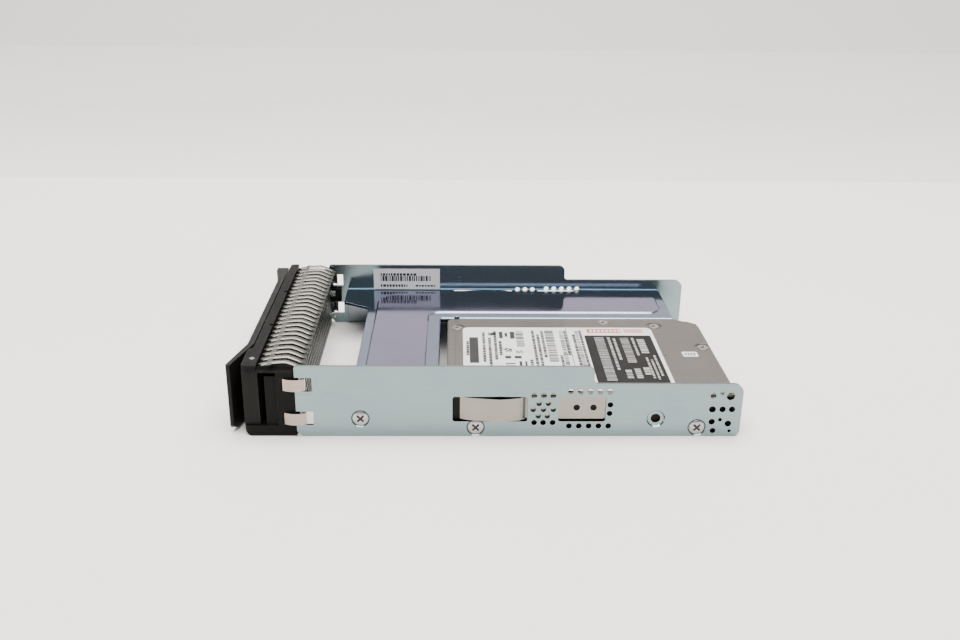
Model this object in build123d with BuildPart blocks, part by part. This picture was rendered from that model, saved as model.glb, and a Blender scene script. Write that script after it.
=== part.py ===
from build123d import *
import math
import os

# Hot-swap tray with a 2.5 inch disk drive on an adapter bracket.
# +X points to the drive's plug, -X to the bezel, +Z up; the tray stands on Z = 0.
# The origin is at the middle of the tray's footprint. Millimetres.

os.makedirs("parts", exist_ok=True)

# ---------------------------------------------------------------- driving sizes
# Sheet rails
tray_width = 105.5
rail_length = 152.9
rail_height = 26.4
rail_tail_height = 20.0
rail_tail_length = 51.4
rail_sheet = 1.0
plug_setback = 1.0
dimple_depth = 0.5
dimple_radius = 3.2
screw_hole_radius = 1.7
bracket_screw_height = 6.76
first_tray_hole = 28.5
tray_hole_pitch = 101.6

# Drive, its side screws and its place in the tray
drive_length = 100.4
drive_width = 69.85
drive_height = 15.0
drive_lift = 0.4
plug_overhang = 0.3
first_drive_hole = 14.0
drive_hole_pitch = 76.6
drive_hole_rise = 3.0
drive_bottom_hole_inset = 4.07
thread_radius = 1.25
thread_depth = 4.0

# Adapter bracket
bracket_sheet = 1.0
bracket_front = 133.5
bracket_pocket = 103.5
bracket_rear = 9.3
bracket_tab_front = 144.3
emboss_depth = 0.5
emboss_taper = 40

# Bezel and lever
bezel_depth = 17.4
bezel_wall = 2.4
bezel_side_gap = 0.2
bezel_floor_rail = 3.8
lever_reach = 6.0
lever_plate = 2.2
lever_edge_gap = 0.7
lever_free_gap = 1.5
pin_radius = 1.0
pin_clearance = 0.05
pin_inset_x = 2.4
pin_inset_y = 6.8
hub_radius = 3.4
hub_nose = 5.4
part_gap = 0.3

# Disk stack and actuator
platter_radius = 32.5
platter_bore = 10.0
platter_thickness = 0.8
platter_gap = 1.8
platter_count = 3
chamber_gap = 0.7
cover_sheet = 0.8
shaft_radius = 2.0
shaft_clearance = 0.03
actuator_reach = 36.0
pivot_radius = 1.6
pivot_setback = 24.5
pivot_from_side = 24.3

# ---------------------------------------------------------------- places that follow
overall_length = rail_length + bezel_depth + lever_reach
rear_x = overall_length / 2
rail_front_x = rear_x - rail_length
bezel_front_x = rail_front_x - bezel_depth
plug_x = rear_x - plug_setback
near_y = -tray_width / 2
far_y = tray_width / 2
rail_inner = tray_width / 2 - rail_sheet
seat_inner = rail_inner - dimple_depth

drive_rear_x = plug_x - plug_overhang
drive_front_x = drive_rear_x - drive_length
drive_near_y = -seat_inner
drive_far_y = drive_near_y + drive_width
drive_mid_y = drive_near_y + drive_width / 2
drive_top = drive_lift + drive_height
drive_screw_z = drive_lift + drive_hole_rise
drive_hole_xs = [plug_x - first_drive_hole - i * drive_hole_pitch for i in range(2)]
tray_hole_xs = [plug_x - first_tray_hole - i * tray_hole_pitch for i in range(2)]


def from_plug(distance):
    """X of something measured forwards from the plug's plane."""
    return plug_x - distance


def side_plane(y):
    """Plane of a side view: local x runs along +X and local y along +Z, facing -Y."""
    return Plane.XZ.offset(-y)


def front_plane(x):
    """Plane of a cross-section: local x runs along +Y and local y along +Z, facing +X."""
    return Plane.YZ.offset(x)


def screw(plane, points, head_radius, head_height, shank_radius, shank_length):
    """Cross-recess screws: heads rise from the plane along its normal, shanks go the other way."""
    with BuildSketch(plane) as heads:
        with Locations(*points):
            Circle(head_radius)
    with BuildSketch(plane) as shanks:
        with Locations(*points):
            Circle(shank_radius)
    with BuildSketch(plane.offset(head_height)) as recesses:
        with Locations(*points):
            Rectangle(head_radius * 1.3, head_radius * 0.24, rotation=45)
            Rectangle(head_radius * 1.3, head_radius * 0.24, rotation=135)
    extrude(heads.sketch, amount=head_height)
    extrude(shanks.sketch, amount=-shank_length)
    extrude(recesses.sketch, amount=-head_height * 0.7, mode=Mode.SUBTRACT)


def far_facing_plane(y):
    """Plane of a side view facing +Y: local x runs along -X and local y along +Z."""
    return Plane.XZ.rotated((0, 0, 180)).offset(y)


# ---------------------------------------------------------------- side rails
window_bottom = 5.7
window_top = 15.1
window_1 = (98.6, 72.8)
window_2 = (62.3, 45.9)
clip_slot_bands = [(4.3, 9.4), (17.0, 22.1)]
clip_slot_setback = 1.6
clip_slot_length = 4.2
clip_slot_x = rail_front_x + clip_slot_setback + clip_slot_length / 2

vent_radius = 1.0
vent_rows = [(70.7, 15.5), (67.4, 15.5), (64.2, 15.5), (69.0, 12.6), (65.8, 12.6)]
vent_rows += [(70.9, 10.3), (67.4, 10.3), (64.0, 10.3), (69.1, 7.8), (66.0, 7.8)]
vent_rows += [(70.5, 5.3), (67.4, 5.3), (64.1, 5.3), (44.5, 12.1), (44.6, 8.8)]
upper_vents = [(58.2 - 3.33 * i, 17.1) for i in range(5)]
lower_vents = [(58.4 - 3.4 * i, 4.0) for i in range(5)]
vent_rows += lower_vents
far_vent_drop = 1.2
tail_holes = [(9.3, 15.5, 1.0), (6.3, 16.4, 0.7), (3.3, 15.3, 1.4), (9.2, 10.4, 1.2)]
tail_holes += [(5.7, 10.4, 1.1), (2.4, 10.4, 1.1), (9.0, 5.6, 1.1), (6.2, 6.4, 0.7)]
tail_holes += [(3.3, 4.9, 1.15), (8.4, 2.2, 1.0), (2.6, 2.1, 0.6)]

with BuildPart() as rail_blank:
    with BuildSketch(side_plane(-rail_inner)):
        with BuildLine():
            FilletPolyline(
                (rail_front_x, 2.0),
                (rail_front_x + 2.0, 0),
                (rear_x, 0),
                (rear_x, rail_tail_height),
                (rear_x - rail_tail_length, rail_tail_height),
                (rear_x - rail_tail_length, rail_height),
                (rail_front_x, rail_height),
                radius=[0.8, 0.8, 2.5, 3.5, 1.5, 2.5, 0.8],
                close=True,
            )
        make_face()
    extrude(amount=rail_sheet)
    screw_points = [(x, bracket_screw_height) for x in tray_hole_xs]
    screw_points += [(x, drive_screw_z) for x in drive_hole_xs]
    # Pressed dimples: a boss inside and a cone outside, with the hole in the middle
    with BuildSketch(side_plane(-rail_inner)):
        with Locations(*screw_points):
            Circle(dimple_radius)
    extrude(amount=-dimple_depth, taper=40)
    with BuildSketch(side_plane(near_y)):
        with Locations(*screw_points):
            Circle(dimple_radius)
    extrude(amount=-dimple_depth, taper=40, mode=Mode.SUBTRACT)
    with BuildSketch(side_plane(near_y)):
        with Locations(*screw_points):
            Circle(screw_hole_radius)
        # Windows that the leaf spring works through
        for window in (window_1, window_2):
            with Locations((from_plug(sum(window) / 2), (window_bottom + window_top) / 2)):
                RectangleRounded(window[0] - window[1], window_top - window_bottom, 0.9)
        # Slots that take the contact clips' tails
        for low, high in clip_slot_bands:
            with Locations((clip_slot_x, (low + high) / 2)):
                Rectangle(clip_slot_length, high - low)
        with Locations(*[(from_plug(x), z) for x, z in vent_rows]):
            Circle(vent_radius)
    extrude(amount=-2 * rail_sheet, mode=Mode.SUBTRACT)

# The near rail has small holes in its tail, and its upper vents stand higher than the far rail's
with BuildPart() as near_side_rail:
    add(rail_blank.part)
    with BuildSketch(side_plane(near_y)):
        with Locations(*[(from_plug(x), z) for x, z in upper_vents]):
            Circle(vent_radius)
        for x, z, radius in tail_holes:
            with Locations((from_plug(x), z)):
                Circle(radius)
    extrude(amount=-2 * rail_sheet, mode=Mode.SUBTRACT)
near_side_rail.part.label = "near_side_rail"
export_step(near_side_rail.part, "parts/near_side_rail.step")

with BuildPart() as far_side_rail:
    mirror(rail_blank.part, about=Plane.XZ)
    with BuildSketch(side_plane(far_y)):
        with Locations(*[(from_plug(x), z - far_vent_drop) for x, z in upper_vents]):
            Circle(vent_radius)
    extrude(amount=2 * rail_sheet, mode=Mode.SUBTRACT)
far_side_rail.part.label = "far_side_rail"
export_step(far_side_rail.part, "parts/far_side_rail.step")

# ---------------------------------------------------------------- leaf springs
spring_sheet = 0.25
spring_half_width = 4.2
spring_z = 10.4
spring_bulge = 1.3
spring_front = 96.0
spring_crest = 82.3
spring_foot = 73.6
spring_rear = 45.7
spring_y = -rail_inner + dimple_depth / 2 - spring_sheet / 2

with BuildPart() as near_leaf_spring:
    with BuildSketch(Plane.XY.offset(spring_z - spring_half_width)):
        with BuildLine():
            FilletPolyline(
                (from_plug(spring_rear), spring_y),
                (from_plug(spring_foot), spring_y),
                (from_plug(spring_foot + 2.0), near_y - 0.2),
                (from_plug(spring_crest), near_y - spring_bulge),
                (from_plug(spring_front - 3.0), near_y + 0.1),
                (from_plug(spring_front), spring_y),
                (from_plug(spring_front), spring_y + spring_sheet),
                (from_plug(spring_front - 3.0), near_y + spring_sheet + 0.1),
                (from_plug(spring_crest), near_y - spring_bulge + spring_sheet),
                (from_plug(spring_foot + 2.0), near_y - 0.2 + spring_sheet),
                (from_plug(spring_foot), spring_y + spring_sheet),
                (from_plug(spring_rear), spring_y + spring_sheet),
                radius=[0, 1.5, 2.5, 0.9, 8.0, 0, 0, 8.0, 0.6, 2.5, 1.5, 0],
                close=True,
            )
        make_face()
    extrude(amount=2 * spring_half_width)
    with BuildSketch(side_plane(near_y)):
        with Locations((from_plug(55.9), 10.5), (from_plug(50.1), 10.5)):
            Circle(1.15)
    extrude(amount=-3, both=True, mode=Mode.SUBTRACT)
near_leaf_spring.part.label = "near_leaf_spring"
export_step(near_leaf_spring.part, "parts/near_leaf_spring.step")

with BuildPart() as far_leaf_spring:
    mirror(near_leaf_spring.part, about=Plane.XZ)
far_leaf_spring.part.label = "far_leaf_spring"
export_step(far_leaf_spring.part, "parts/far_leaf_spring.step")

# ---------------------------------------------------------------- contact clips
clip_sheet = 0.25
clip_bulge = 1.1
clip_width = 4.3
clip_reach = 4.0
clip_tail_inset = 2.4
clip_tail_x = clip_slot_x + clip_slot_length / 2 - clip_tail_inset
clip_front_x = rail_front_x - clip_reach

with BuildPart() as near_side_clips:
    for low, high in clip_slot_bands:
        with BuildSketch(Plane.XY.offset((low + high - clip_width) / 2)):
            with BuildLine():
                front = (clip_front_x, near_y + bezel_side_gap - clip_sheet)
                front_inner = (clip_front_x, near_y + bezel_side_gap)
                crest = ((clip_front_x + clip_tail_x) / 2, near_y - clip_bulge)
                crest_inner = ((clip_front_x + clip_tail_x) / 2, near_y - clip_bulge + clip_sheet)
                tail = (clip_tail_x, near_y - clip_sheet)
                tail_inner = (clip_tail_x - clip_sheet, near_y)
                tail_end = (clip_tail_x, near_y + rail_sheet + 0.4)
                tail_end_inner = (clip_tail_x - clip_sheet, near_y + rail_sheet + 0.4)
                ThreePointArc(front, crest, tail)
                Line(tail, tail_end)
                Line(tail_end, tail_end_inner)
                Line(tail_end_inner, tail_inner)
                ThreePointArc(tail_inner, crest_inner, front_inner)
                Line(front_inner, front)
            make_face()
        extrude(amount=clip_width)
near_side_clips.part.label = "near_side_clips"
export_step(near_side_clips.part, "parts/near_side_clips.step")

with BuildPart() as far_side_clips:
    mirror(near_side_clips.part, about=Plane.XZ)
far_side_clips.part.label = "far_side_clips"
export_step(far_side_clips.part, "parts/far_side_clips.step")

# ---------------------------------------------------------------- adapter bracket
plate_top = drive_top
plate_bottom = plate_top - bracket_sheet
flange_bottom = 1.0
bend_radius = 1.3
fold_radius = 0.8
relief_radius = 1.1
drive_flange_front = 97.0
panel_margin = 4.0
tab_inner_y = seat_inner - 15.0
tab_start_y = tab_inner_y - 6.5
bracket_front_x = from_plug(bracket_front)
bracket_tab_x = from_plug(bracket_tab_front)
bracket_pocket_x = from_plug(bracket_pocket)
bracket_rear_x = from_plug(bracket_rear)
drive_flange_x = from_plug(drive_flange_front)
tray_screw_shank = 1.45


def panel_face(grow, level):
    """Outline of the L-shaped embossed panel at that height, grown outwards by grow."""
    front = bracket_front_x + panel_margin - grow
    turn = bracket_pocket_x - panel_margin - 1.5 + grow
    rear = bracket_rear_x - panel_margin + grow
    near = panel_margin - seat_inner - grow
    inner = drive_far_y + panel_margin + 2.0 - grow
    outer = seat_inner - panel_margin - 2.0 + grow
    with BuildSketch(Plane.XY.offset(level)) as panel:
        with BuildLine():
            FilletPolyline(
                (front, near),
                (turn, near),
                (turn, inner),
                (rear, inner),
                (rear, outer),
                (front + 6.0, outer),
                (front, outer - 8.0),
                radius=[2.5, 2.5, 5.0, 6.0, 6.0, 3.0, 3.0],
                close=True,
            )
        make_face()
    return panel.sketch


panel_pad = panel_face(0.6, plate_top)
panel_hollow = panel_face(0, plate_bottom)

with BuildPart() as adapter_bracket:
    # Top plate: across the front, then back along the drive's far side
    with BuildSketch(Plane.XY.offset(plate_bottom)):
        with BuildLine():
            FilletPolyline(
                (bracket_front_x, -seat_inner),
                (bracket_pocket_x, -seat_inner),
                (bracket_pocket_x, drive_far_y),
                (bracket_rear_x, drive_far_y),
                (bracket_rear_x, seat_inner),
                (bracket_tab_x, seat_inner),
                (bracket_tab_x, tab_inner_y),
                (bracket_front_x, tab_start_y),
                radius=[0, 0, 1.0, 0, 0, 0, 1.0, 2.0],
                close=True,
            )
        make_face()
    extrude(amount=bracket_sheet)
    # Flanges against the near rail, the far rail and the drive's far side
    flanges = [(bracket_front_x, bracket_pocket_x, -seat_inner)]
    flanges += [(bracket_tab_x, bracket_rear_x, seat_inner - bracket_sheet)]
    flanges += [(drive_flange_x, bracket_rear_x, drive_far_y)]
    for start_x, end_x, low_y in flanges:
        with BuildSketch(side_plane(low_y)):
            with Locations(((start_x + end_x) / 2, (plate_top + flange_bottom) / 2)):
                Rectangle(end_x - start_x, plate_top - flange_bottom)
        extrude(amount=-bracket_sheet)
    top_edges = adapter_bracket.edges().filter_by(Axis.X).group_by(Axis.Z)[-1]
    fillet([edge for edge in top_edges if abs(edge.center().Y) > seat_inner - bracket_sheet / 2], bend_radius)
    fold_edges = [edge for edge in top_edges if abs(edge.center().Y - drive_far_y) < bracket_sheet / 2]
    fillet(fold_edges, fold_radius)
    # Stiffening panel, pressed up out of the plate with sloping sides
    extrude(panel_pad, amount=emboss_depth, taper=emboss_taper)
    extrude(panel_hollow, amount=emboss_depth, taper=emboss_taper, mode=Mode.SUBTRACT)
    # Threaded holes for the tray screws and clearance holes for the drive screws
    with BuildSketch(side_plane(-seat_inner)):
        with Locations((tray_hole_xs[1], bracket_screw_height)):
            Circle(tray_screw_shank)
    extrude(amount=-bracket_sheet, mode=Mode.SUBTRACT)
    with BuildSketch(side_plane(seat_inner)):
        with Locations(*[(x, bracket_screw_height) for x in tray_hole_xs]):
            Circle(tray_screw_shank)
    extrude(amount=bracket_sheet, mode=Mode.SUBTRACT)
    with BuildSketch(side_plane(drive_far_y)):
        with Locations(*[(x, drive_screw_z) for x in drive_hole_xs]):
            Circle(screw_hole_radius)
    extrude(amount=-bracket_sheet, mode=Mode.SUBTRACT)
    # Bend relief at the front of the drive flange
    with BuildSketch(Plane.XY.offset(plate_bottom)):
        with Locations((drive_flange_x, drive_far_y + bracket_sheet / 2)):
            Circle(relief_radius)
    extrude(amount=bracket_sheet, mode=Mode.SUBTRACT)
adapter_bracket.part.label = "adapter_bracket"
export_step(adapter_bracket.part, "parts/adapter_bracket.step")

# ---------------------------------------------------------------- tray screws
head_radius = 2.65
head_height = 0.7
screw_clearance = 0.05

with BuildPart() as bracket_screws:
    shank_length = rail_sheet + bracket_sheet + 0.6
    near_points = [(tray_hole_xs[1], bracket_screw_height)]
    far_points = [(-x, bracket_screw_height) for x in tray_hole_xs]
    near_seat = side_plane(near_y + dimple_depth)
    far_seat = far_facing_plane(far_y - dimple_depth)
    screw(near_seat, near_points, head_radius, head_height, tray_screw_shank, shank_length)
    screw(far_seat, far_points, head_radius, head_height, tray_screw_shank, shank_length)
bracket_screws.part.label = "bracket_screws"
export_step(bracket_screws.part, "parts/bracket_screws.step")

with BuildPart() as drive_mounting_screws:
    thread_grip = 2.3
    shank_radius = thread_radius - screw_clearance
    near_points = [(x, drive_screw_z) for x in drive_hole_xs]
    far_points = [(-x, drive_screw_z) for x in drive_hole_xs]
    far_seat = far_facing_plane(drive_far_y + bracket_sheet)
    screw(near_seat, near_points, head_radius, head_height, shank_radius, rail_sheet + thread_grip)
    screw(far_seat, far_points, head_radius, head_height, shank_radius, bracket_sheet + thread_grip)
drive_mounting_screws.part.label = "drive_mounting_screws"
export_step(drive_mounting_screws.part, "parts/drive_mounting_screws.step")

# ---------------------------------------------------------------- bezel
bezel_near_y = near_y + bezel_side_gap
bezel_far_y = -bezel_near_y
bezel_top = rail_height
bezel_foot_radius = 3.0
band_front_x = bezel_front_x + 1.3
band_rear_x = bezel_front_x + 4.6
shelf_z = bezel_top - 2.2
roof_z = shelf_z - 1.8
bay_end_y = near_y + 19.0
bay_floor_z = bezel_floor_rail
bay_roof_z = bezel_top - 2.6
pin_x = bezel_front_x + pin_inset_x
pin_y = near_y + pin_inset_y
knuckle_x = bezel_front_x - 0.7
side_window = (bezel_front_x + 0.8, bezel_front_x + 11.1)
pin_foot_z = 0.8
button_y = near_y + 80.5
button_z = rail_height / 2
button_width = 6.4
button_height = 5.4
button_travel = 2.0
button_gap = 0.3
guide_wall = 1.2
guide_front_x = bezel_front_x + 1.8
guide_rear_x = rail_front_x - 2.0
pipe_radius = 1.2
pipe_y = far_y - 5.5
pipe_zs = [15.0, 5.2]
ear_length = 4.9
ear_thickness = 1.5
ear_z = 13.1
ear_height = 5.8

with BuildPart() as front_bezel:
    # Outer form, with the hinge knuckle standing forward at the near end
    with BuildSketch():
        with BuildLine():
            FilletPolyline(
                (knuckle_x, bezel_near_y + 0.6),
                (knuckle_x + 2.4, bezel_near_y),
                (rail_front_x, bezel_near_y),
                (rail_front_x, bezel_far_y),
                (band_front_x, bezel_far_y),
                (band_front_x, near_y + 16.0),
                (knuckle_x, near_y + 13.6),
                radius=[2.2, 1.0, 0, 0, 1.5, 1.5, 1.5],
                close=True,
            )
        make_face()
    extrude(amount=bezel_top)
    # Rounded lower front edge in the side view
    with BuildSketch(side_plane(near_y - 1)):
        with BuildLine():
            FilletPolyline(
                (knuckle_x, 0),
                (rail_front_x + 1, 0),
                (rail_front_x + 1, bezel_top),
                (knuckle_x, bezel_top),
                radius=[bezel_foot_radius, 0, 0, 0.8],
                close=True,
            )
        make_face()
    extrude(amount=-tray_width - 2, mode=Mode.INTERSECT)
    # Lower shelf behind the front band, which the spring fingers arch over
    with BuildSketch(Plane.XY.offset(bezel_top)):
        with Locations(((band_rear_x + rail_front_x) / 2 + 1, 0)):
            Rectangle(rail_front_x - band_rear_x + 2, tray_width)
        with Locations((band_rear_x - 0.5, near_y + 72.0), (band_rear_x - 0.5, near_y + 37.0)):
            Rectangle(1.4, 1.4)
    extrude(amount=shelf_z - bezel_top, mode=Mode.SUBTRACT)
    # Hollow inside, open to the front and the back
    with BuildSketch(front_plane(knuckle_x - 1)):
        with Locations(((bay_end_y + bezel_far_y) / 2, (bezel_wall + roof_z) / 2)):
            Rectangle(bezel_far_y - bay_end_y - 2 * bezel_wall, roof_z - bezel_wall)
    extrude(amount=bezel_depth + 3, mode=Mode.SUBTRACT)
    # Hinge bay at the near end, open to the front and to the side
    with BuildSketch(Plane.XY.offset(bay_floor_z)):
        with Locations(((knuckle_x - 1 + side_window[1]) / 2, (bezel_near_y - 1 + bay_end_y) / 2)):
            Rectangle(side_window[1] - knuckle_x + 1, bay_end_y - bezel_near_y + 1)
    extrude(amount=bay_roof_z - bay_floor_z, mode=Mode.SUBTRACT)
    # Recessed block and rib seen through the side opening
    with BuildSketch(Plane.XY.offset(bay_floor_z)):
        with Locations((side_window[1] - 2.0, bezel_near_y + 1.4)):
            Rectangle(4.0, 1.2)
    extrude(amount=bay_roof_z - bay_floor_z - 1.6)
    # Guide for the catch button, held by two ribs
    with BuildSketch(front_plane(guide_front_x)):
        with Locations((button_y, (bezel_wall + roof_z) / 2)):
            Rectangle(guide_wall * 2, roof_z - bezel_wall)
        with Locations((button_y, button_z)):
            Rectangle(
                button_width + 2 * (guide_wall + button_gap),
                button_height + 2 * (guide_wall + button_gap),
            )
    extrude(amount=guide_rear_x - guide_front_x)
    with BuildSketch(front_plane(guide_front_x)):
        with Locations((button_y, button_z)):
            Rectangle(button_width + 2 * button_gap, button_height + 2 * button_gap)
    extrude(amount=guide_rear_x - guide_front_x - guide_wall, mode=Mode.SUBTRACT)
    # Upright ribs across the hollow
    with BuildSketch(front_plane(guide_front_x)):
        with Locations(*[(near_y + y, (bezel_wall + roof_z) / 2) for y in (37.0, 56.0, 95.0)]):
            Rectangle(1.2, roof_z - bezel_wall)
    extrude(amount=4.0)
    # Tongues that lie inside the rails
    with BuildSketch(front_plane(rail_front_x)):
        for side in (-1, 1):
            with Locations((side * (rail_inner - ear_thickness / 2), ear_z)):
                Rectangle(ear_thickness, ear_height)
    extrude(amount=ear_length)
    with BuildSketch(front_plane(rail_front_x - 4.0)):
        for side in (-1, 1):
            with Locations((side * (rail_inner - ear_thickness / 2), ear_z)):
                Rectangle(ear_thickness, ear_height)
    extrude(amount=4.0)
    # Bore for the hinge pin
    with BuildSketch(Plane.XY.offset(pin_foot_z)):
        with Locations((pin_x, pin_y)):
            Circle(pin_radius)
    extrude(amount=bezel_top, mode=Mode.SUBTRACT)
    # Seats for the contact clips' front ends, cut into the sides
    for low, high in clip_slot_bands:
        with BuildSketch(side_plane(bezel_far_y)):
            with Locations((clip_front_x - 0.3, (low + high) / 2)):
                Rectangle(1.0, clip_width + 0.4)
        extrude(amount=0.3, mode=Mode.SUBTRACT)
        with BuildSketch(side_plane(bezel_near_y)):
            with Locations((clip_front_x - 0.3, (low + high) / 2)):
                Rectangle(1.0, clip_width + 0.4)
        extrude(amount=-0.3, mode=Mode.SUBTRACT)
front_bezel.part.label = "front_bezel"
export_step(front_bezel.part, "parts/front_bezel.step")

with BuildPart() as hinge_pin:
    with BuildSketch(Plane.XY.offset(pin_foot_z)):
        with Locations((pin_x, pin_y)):
            Circle(pin_radius)
    extrude(amount=bezel_top - pin_foot_z)
    chamfer(hinge_pin.edges().sort_by(Axis.Z)[-1], 0.15)
hinge_pin.part.label = "hinge_pin"
export_step(hinge_pin.part, "parts/hinge_pin.step")

# ---------------------------------------------------------------- release lever
lever_outer_x = bezel_front_x - 1.7
lever_inner_x = lever_outer_x + lever_plate
lever_tip_x = bezel_front_x - lever_reach
lever_bend_y = near_y + 20.8
lever_tip_y = near_y + 2.5
lever_end_y = far_y - lever_free_gap
lever_lip_y = lever_end_y - 17.0
lever_low_z = lever_edge_gap
lever_high_z = rail_height - lever_edge_gap
flare_plate = 1.5
lip_rise = 2.4
hub_low_z = bay_floor_z + part_gap
hub_high_z = bay_roof_z - part_gap
spring_bay = (hub_low_z + 6.0, hub_high_z - 5.0)
button_window = 0.5
lever_vent_radius = 2.0
lever_vent_pitch = 5.0

with BuildPart() as release_lever:
    # Plate across the front, flared outwards at the near end, with a finger lip at the free end
    with BuildSketch(Plane.XY.offset(lever_low_z)):
        with BuildLine():
            FilletPolyline(
                (lever_outer_x, lever_bend_y),
                (lever_tip_x, lever_tip_y),
                (lever_tip_x + flare_plate, lever_tip_y - 0.3),
                (lever_inner_x, lever_bend_y),
                (lever_inner_x, lever_end_y),
                (lever_outer_x - lip_rise, lever_end_y),
                (lever_outer_x - lip_rise, lever_end_y - 5.0),
                (lever_outer_x, lever_lip_y),
                radius=[3.0, 0.4, 0.4, 3.0, 0.6, 1.2, 2.0, 6.0],
                close=True,
            )
        make_face()
    extrude(amount=lever_high_z - lever_low_z)
    # Rounded corners in the front view
    with BuildSketch(front_plane(lever_tip_x - 1)):
        with BuildLine():
            FilletPolyline(
                (lever_tip_y - 1.0, lever_low_z),
                (lever_end_y, lever_low_z),
                (lever_end_y, lever_high_z),
                (lever_tip_y - 1.0, lever_high_z),
                radius=[5.0, 1.6, 1.6, 1.0],
                close=True,
            )
        make_face()
    extrude(amount=bezel_depth, mode=Mode.INTERSECT)
    # Hinge hub, joined to the plate by two webs with the torsion spring between them
    with BuildSketch(Plane.XY.offset(hub_low_z)):
        with Locations((pin_x, pin_y)):
            Circle(hub_radius)
        with Locations((pin_x - 0.25, pin_y - hub_nose / 2)):
            Rectangle(5.3, hub_nose)
        with BuildLine():
            Polyline(
                (pin_x, pin_y - hub_radius),
                (pin_x - hub_radius, pin_y),
                (lever_outer_x - 0.7, pin_y + 7.2),
                (lever_outer_x + 0.7, bay_end_y - 0.8),
                (lever_inner_x + 0.4, bay_end_y - 0.8),
                (pin_x + hub_radius, pin_y),
                close=True,
            )
        make_face()
    extrude(amount=hub_high_z - hub_low_z)
    with BuildSketch(Plane.XY.offset(spring_bay[0])):
        with Locations((pin_x, pin_y)):
            Circle(pin_radius + 1.4)
    extrude(amount=spring_bay[1] - spring_bay[0], mode=Mode.SUBTRACT)
    with BuildSketch(Plane.XY):
        with Locations((pin_x, pin_y)):
            Circle(pin_radius + pin_clearance)
    extrude(amount=rail_height, mode=Mode.SUBTRACT)
    # Window for the catch button and rows of hexagonal vents
    with BuildSketch(front_plane(lever_outer_x - lip_rise - 1)):
        with Locations((button_y, button_z)):
            Rectangle(button_width + 2 * button_window, button_height + 2 * button_window)
        for row in range(3):
            count = 9 - row % 2
            with Locations((near_y + 50.5, rail_height / 2 + (row - 1) * lever_vent_pitch * 0.9)):
                with GridLocations(lever_vent_pitch, 1, count, 1):
                    RegularPolygon(lever_vent_radius, 6, major_radius=False, rotation=30)
    extrude(amount=lip_rise + lever_plate + 2, mode=Mode.SUBTRACT)
    # Parting groove before the finger lip
    with BuildSketch(Plane.XY.offset(lever_high_z)):
        with Locations((lever_outer_x, near_y + 77.5)):
            Rectangle(1.2, 1.0)
    extrude(amount=-1.0, mode=Mode.SUBTRACT)
    # Catch hook behind the free end
    with BuildSketch(Plane.XY.offset(rail_height / 2 - 2.0)):
        with Locations((lever_inner_x + 1.8, lever_end_y - 14.0)):
            Rectangle(3.6, 1.6)
        with Locations((lever_inner_x + 3.2, lever_end_y - 14.6)):
            Rectangle(0.8, 2.4)
    extrude(amount=4.0)
release_lever.part.label = "release_lever"
export_step(release_lever.part, "parts/release_lever.step")

with BuildPart() as lever_torsion_spring:
    with BuildLine(Plane((pin_x, pin_y, spring_bay[0] + 0.5))) as coil_path:
        Helix(pitch=0.8, height=spring_bay[1] - spring_bay[0] - 1.0, radius=pin_radius + 0.8)
    with BuildSketch(coil_path.line ^ 0):
        Circle(0.25)
    sweep()
lever_torsion_spring.part.label = "lever_torsion_spring"
export_step(lever_torsion_spring.part, "parts/lever_torsion_spring.step")

# ---------------------------------------------------------------- catch button
button_front_x = lever_outer_x + 0.3
button_rear_x = guide_rear_x - guide_wall - button_travel - 0.4
button_spring_radius = 1.3

with BuildPart() as release_button:
    with BuildSketch(front_plane(button_front_x)):
        with Locations((button_y, button_z)):
            RectangleRounded(button_width, button_height, 0.5)
    extrude(amount=button_rear_x - button_front_x)
    fillet(release_button.faces().sort_by(Axis.X)[0].edges(), 0.35)
    with BuildSketch(front_plane(button_rear_x)):
        with Locations((button_y, button_z)):
            Circle(button_spring_radius + 0.6)
    extrude(amount=-6.5, mode=Mode.SUBTRACT)
release_button.part.label = "release_button"
export_step(release_button.part, "parts/release_button.step")

with BuildPart() as button_spring:
    spring_start_x = guide_rear_x - guide_wall - 0.26
    spring_start = (spring_start_x, button_y, button_z)
    with BuildLine() as button_coil:
        Helix(pitch=0.9, height=6.0, radius=button_spring_radius, center=spring_start, direction=(-1, 0, 0))
    with BuildSketch(button_coil.line ^ 0):
        Circle(0.22)
    sweep()
button_spring.part.label = "button_spring"
export_step(button_spring.part, "parts/button_spring.step")

# ---------------------------------------------------------------- light pipes
with BuildPart() as light_pipes:
    with BuildSketch(front_plane(band_front_x + 0.4)):
        with Locations(*[(pipe_y, z) for z in pipe_zs]):
            Circle(pipe_radius)
    extrude(amount=rail_front_x + 2.4 - band_front_x)
light_pipes.part.label = "light_pipes"
export_step(light_pipes.part, "parts/light_pipes.step")

# ---------------------------------------------------------------- shield and spring fingers
shield_sheet = 0.3
shield_x = rail_front_x + 0.2
shield_half = rail_inner - ear_thickness - 0.2
shield_low_z = 0.6
shield_hole = 1.1
shield_pitch = 3.3
finger_sheet = 0.2
finger_count = 25
finger_slot = 1.5
finger_peak = 0.95
finger_front_x = band_rear_x + 0.4
finger_rear_x = rail_front_x + 2.9
comb_half = seat_inner
shield_top_z = shelf_z + 0.1

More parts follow.
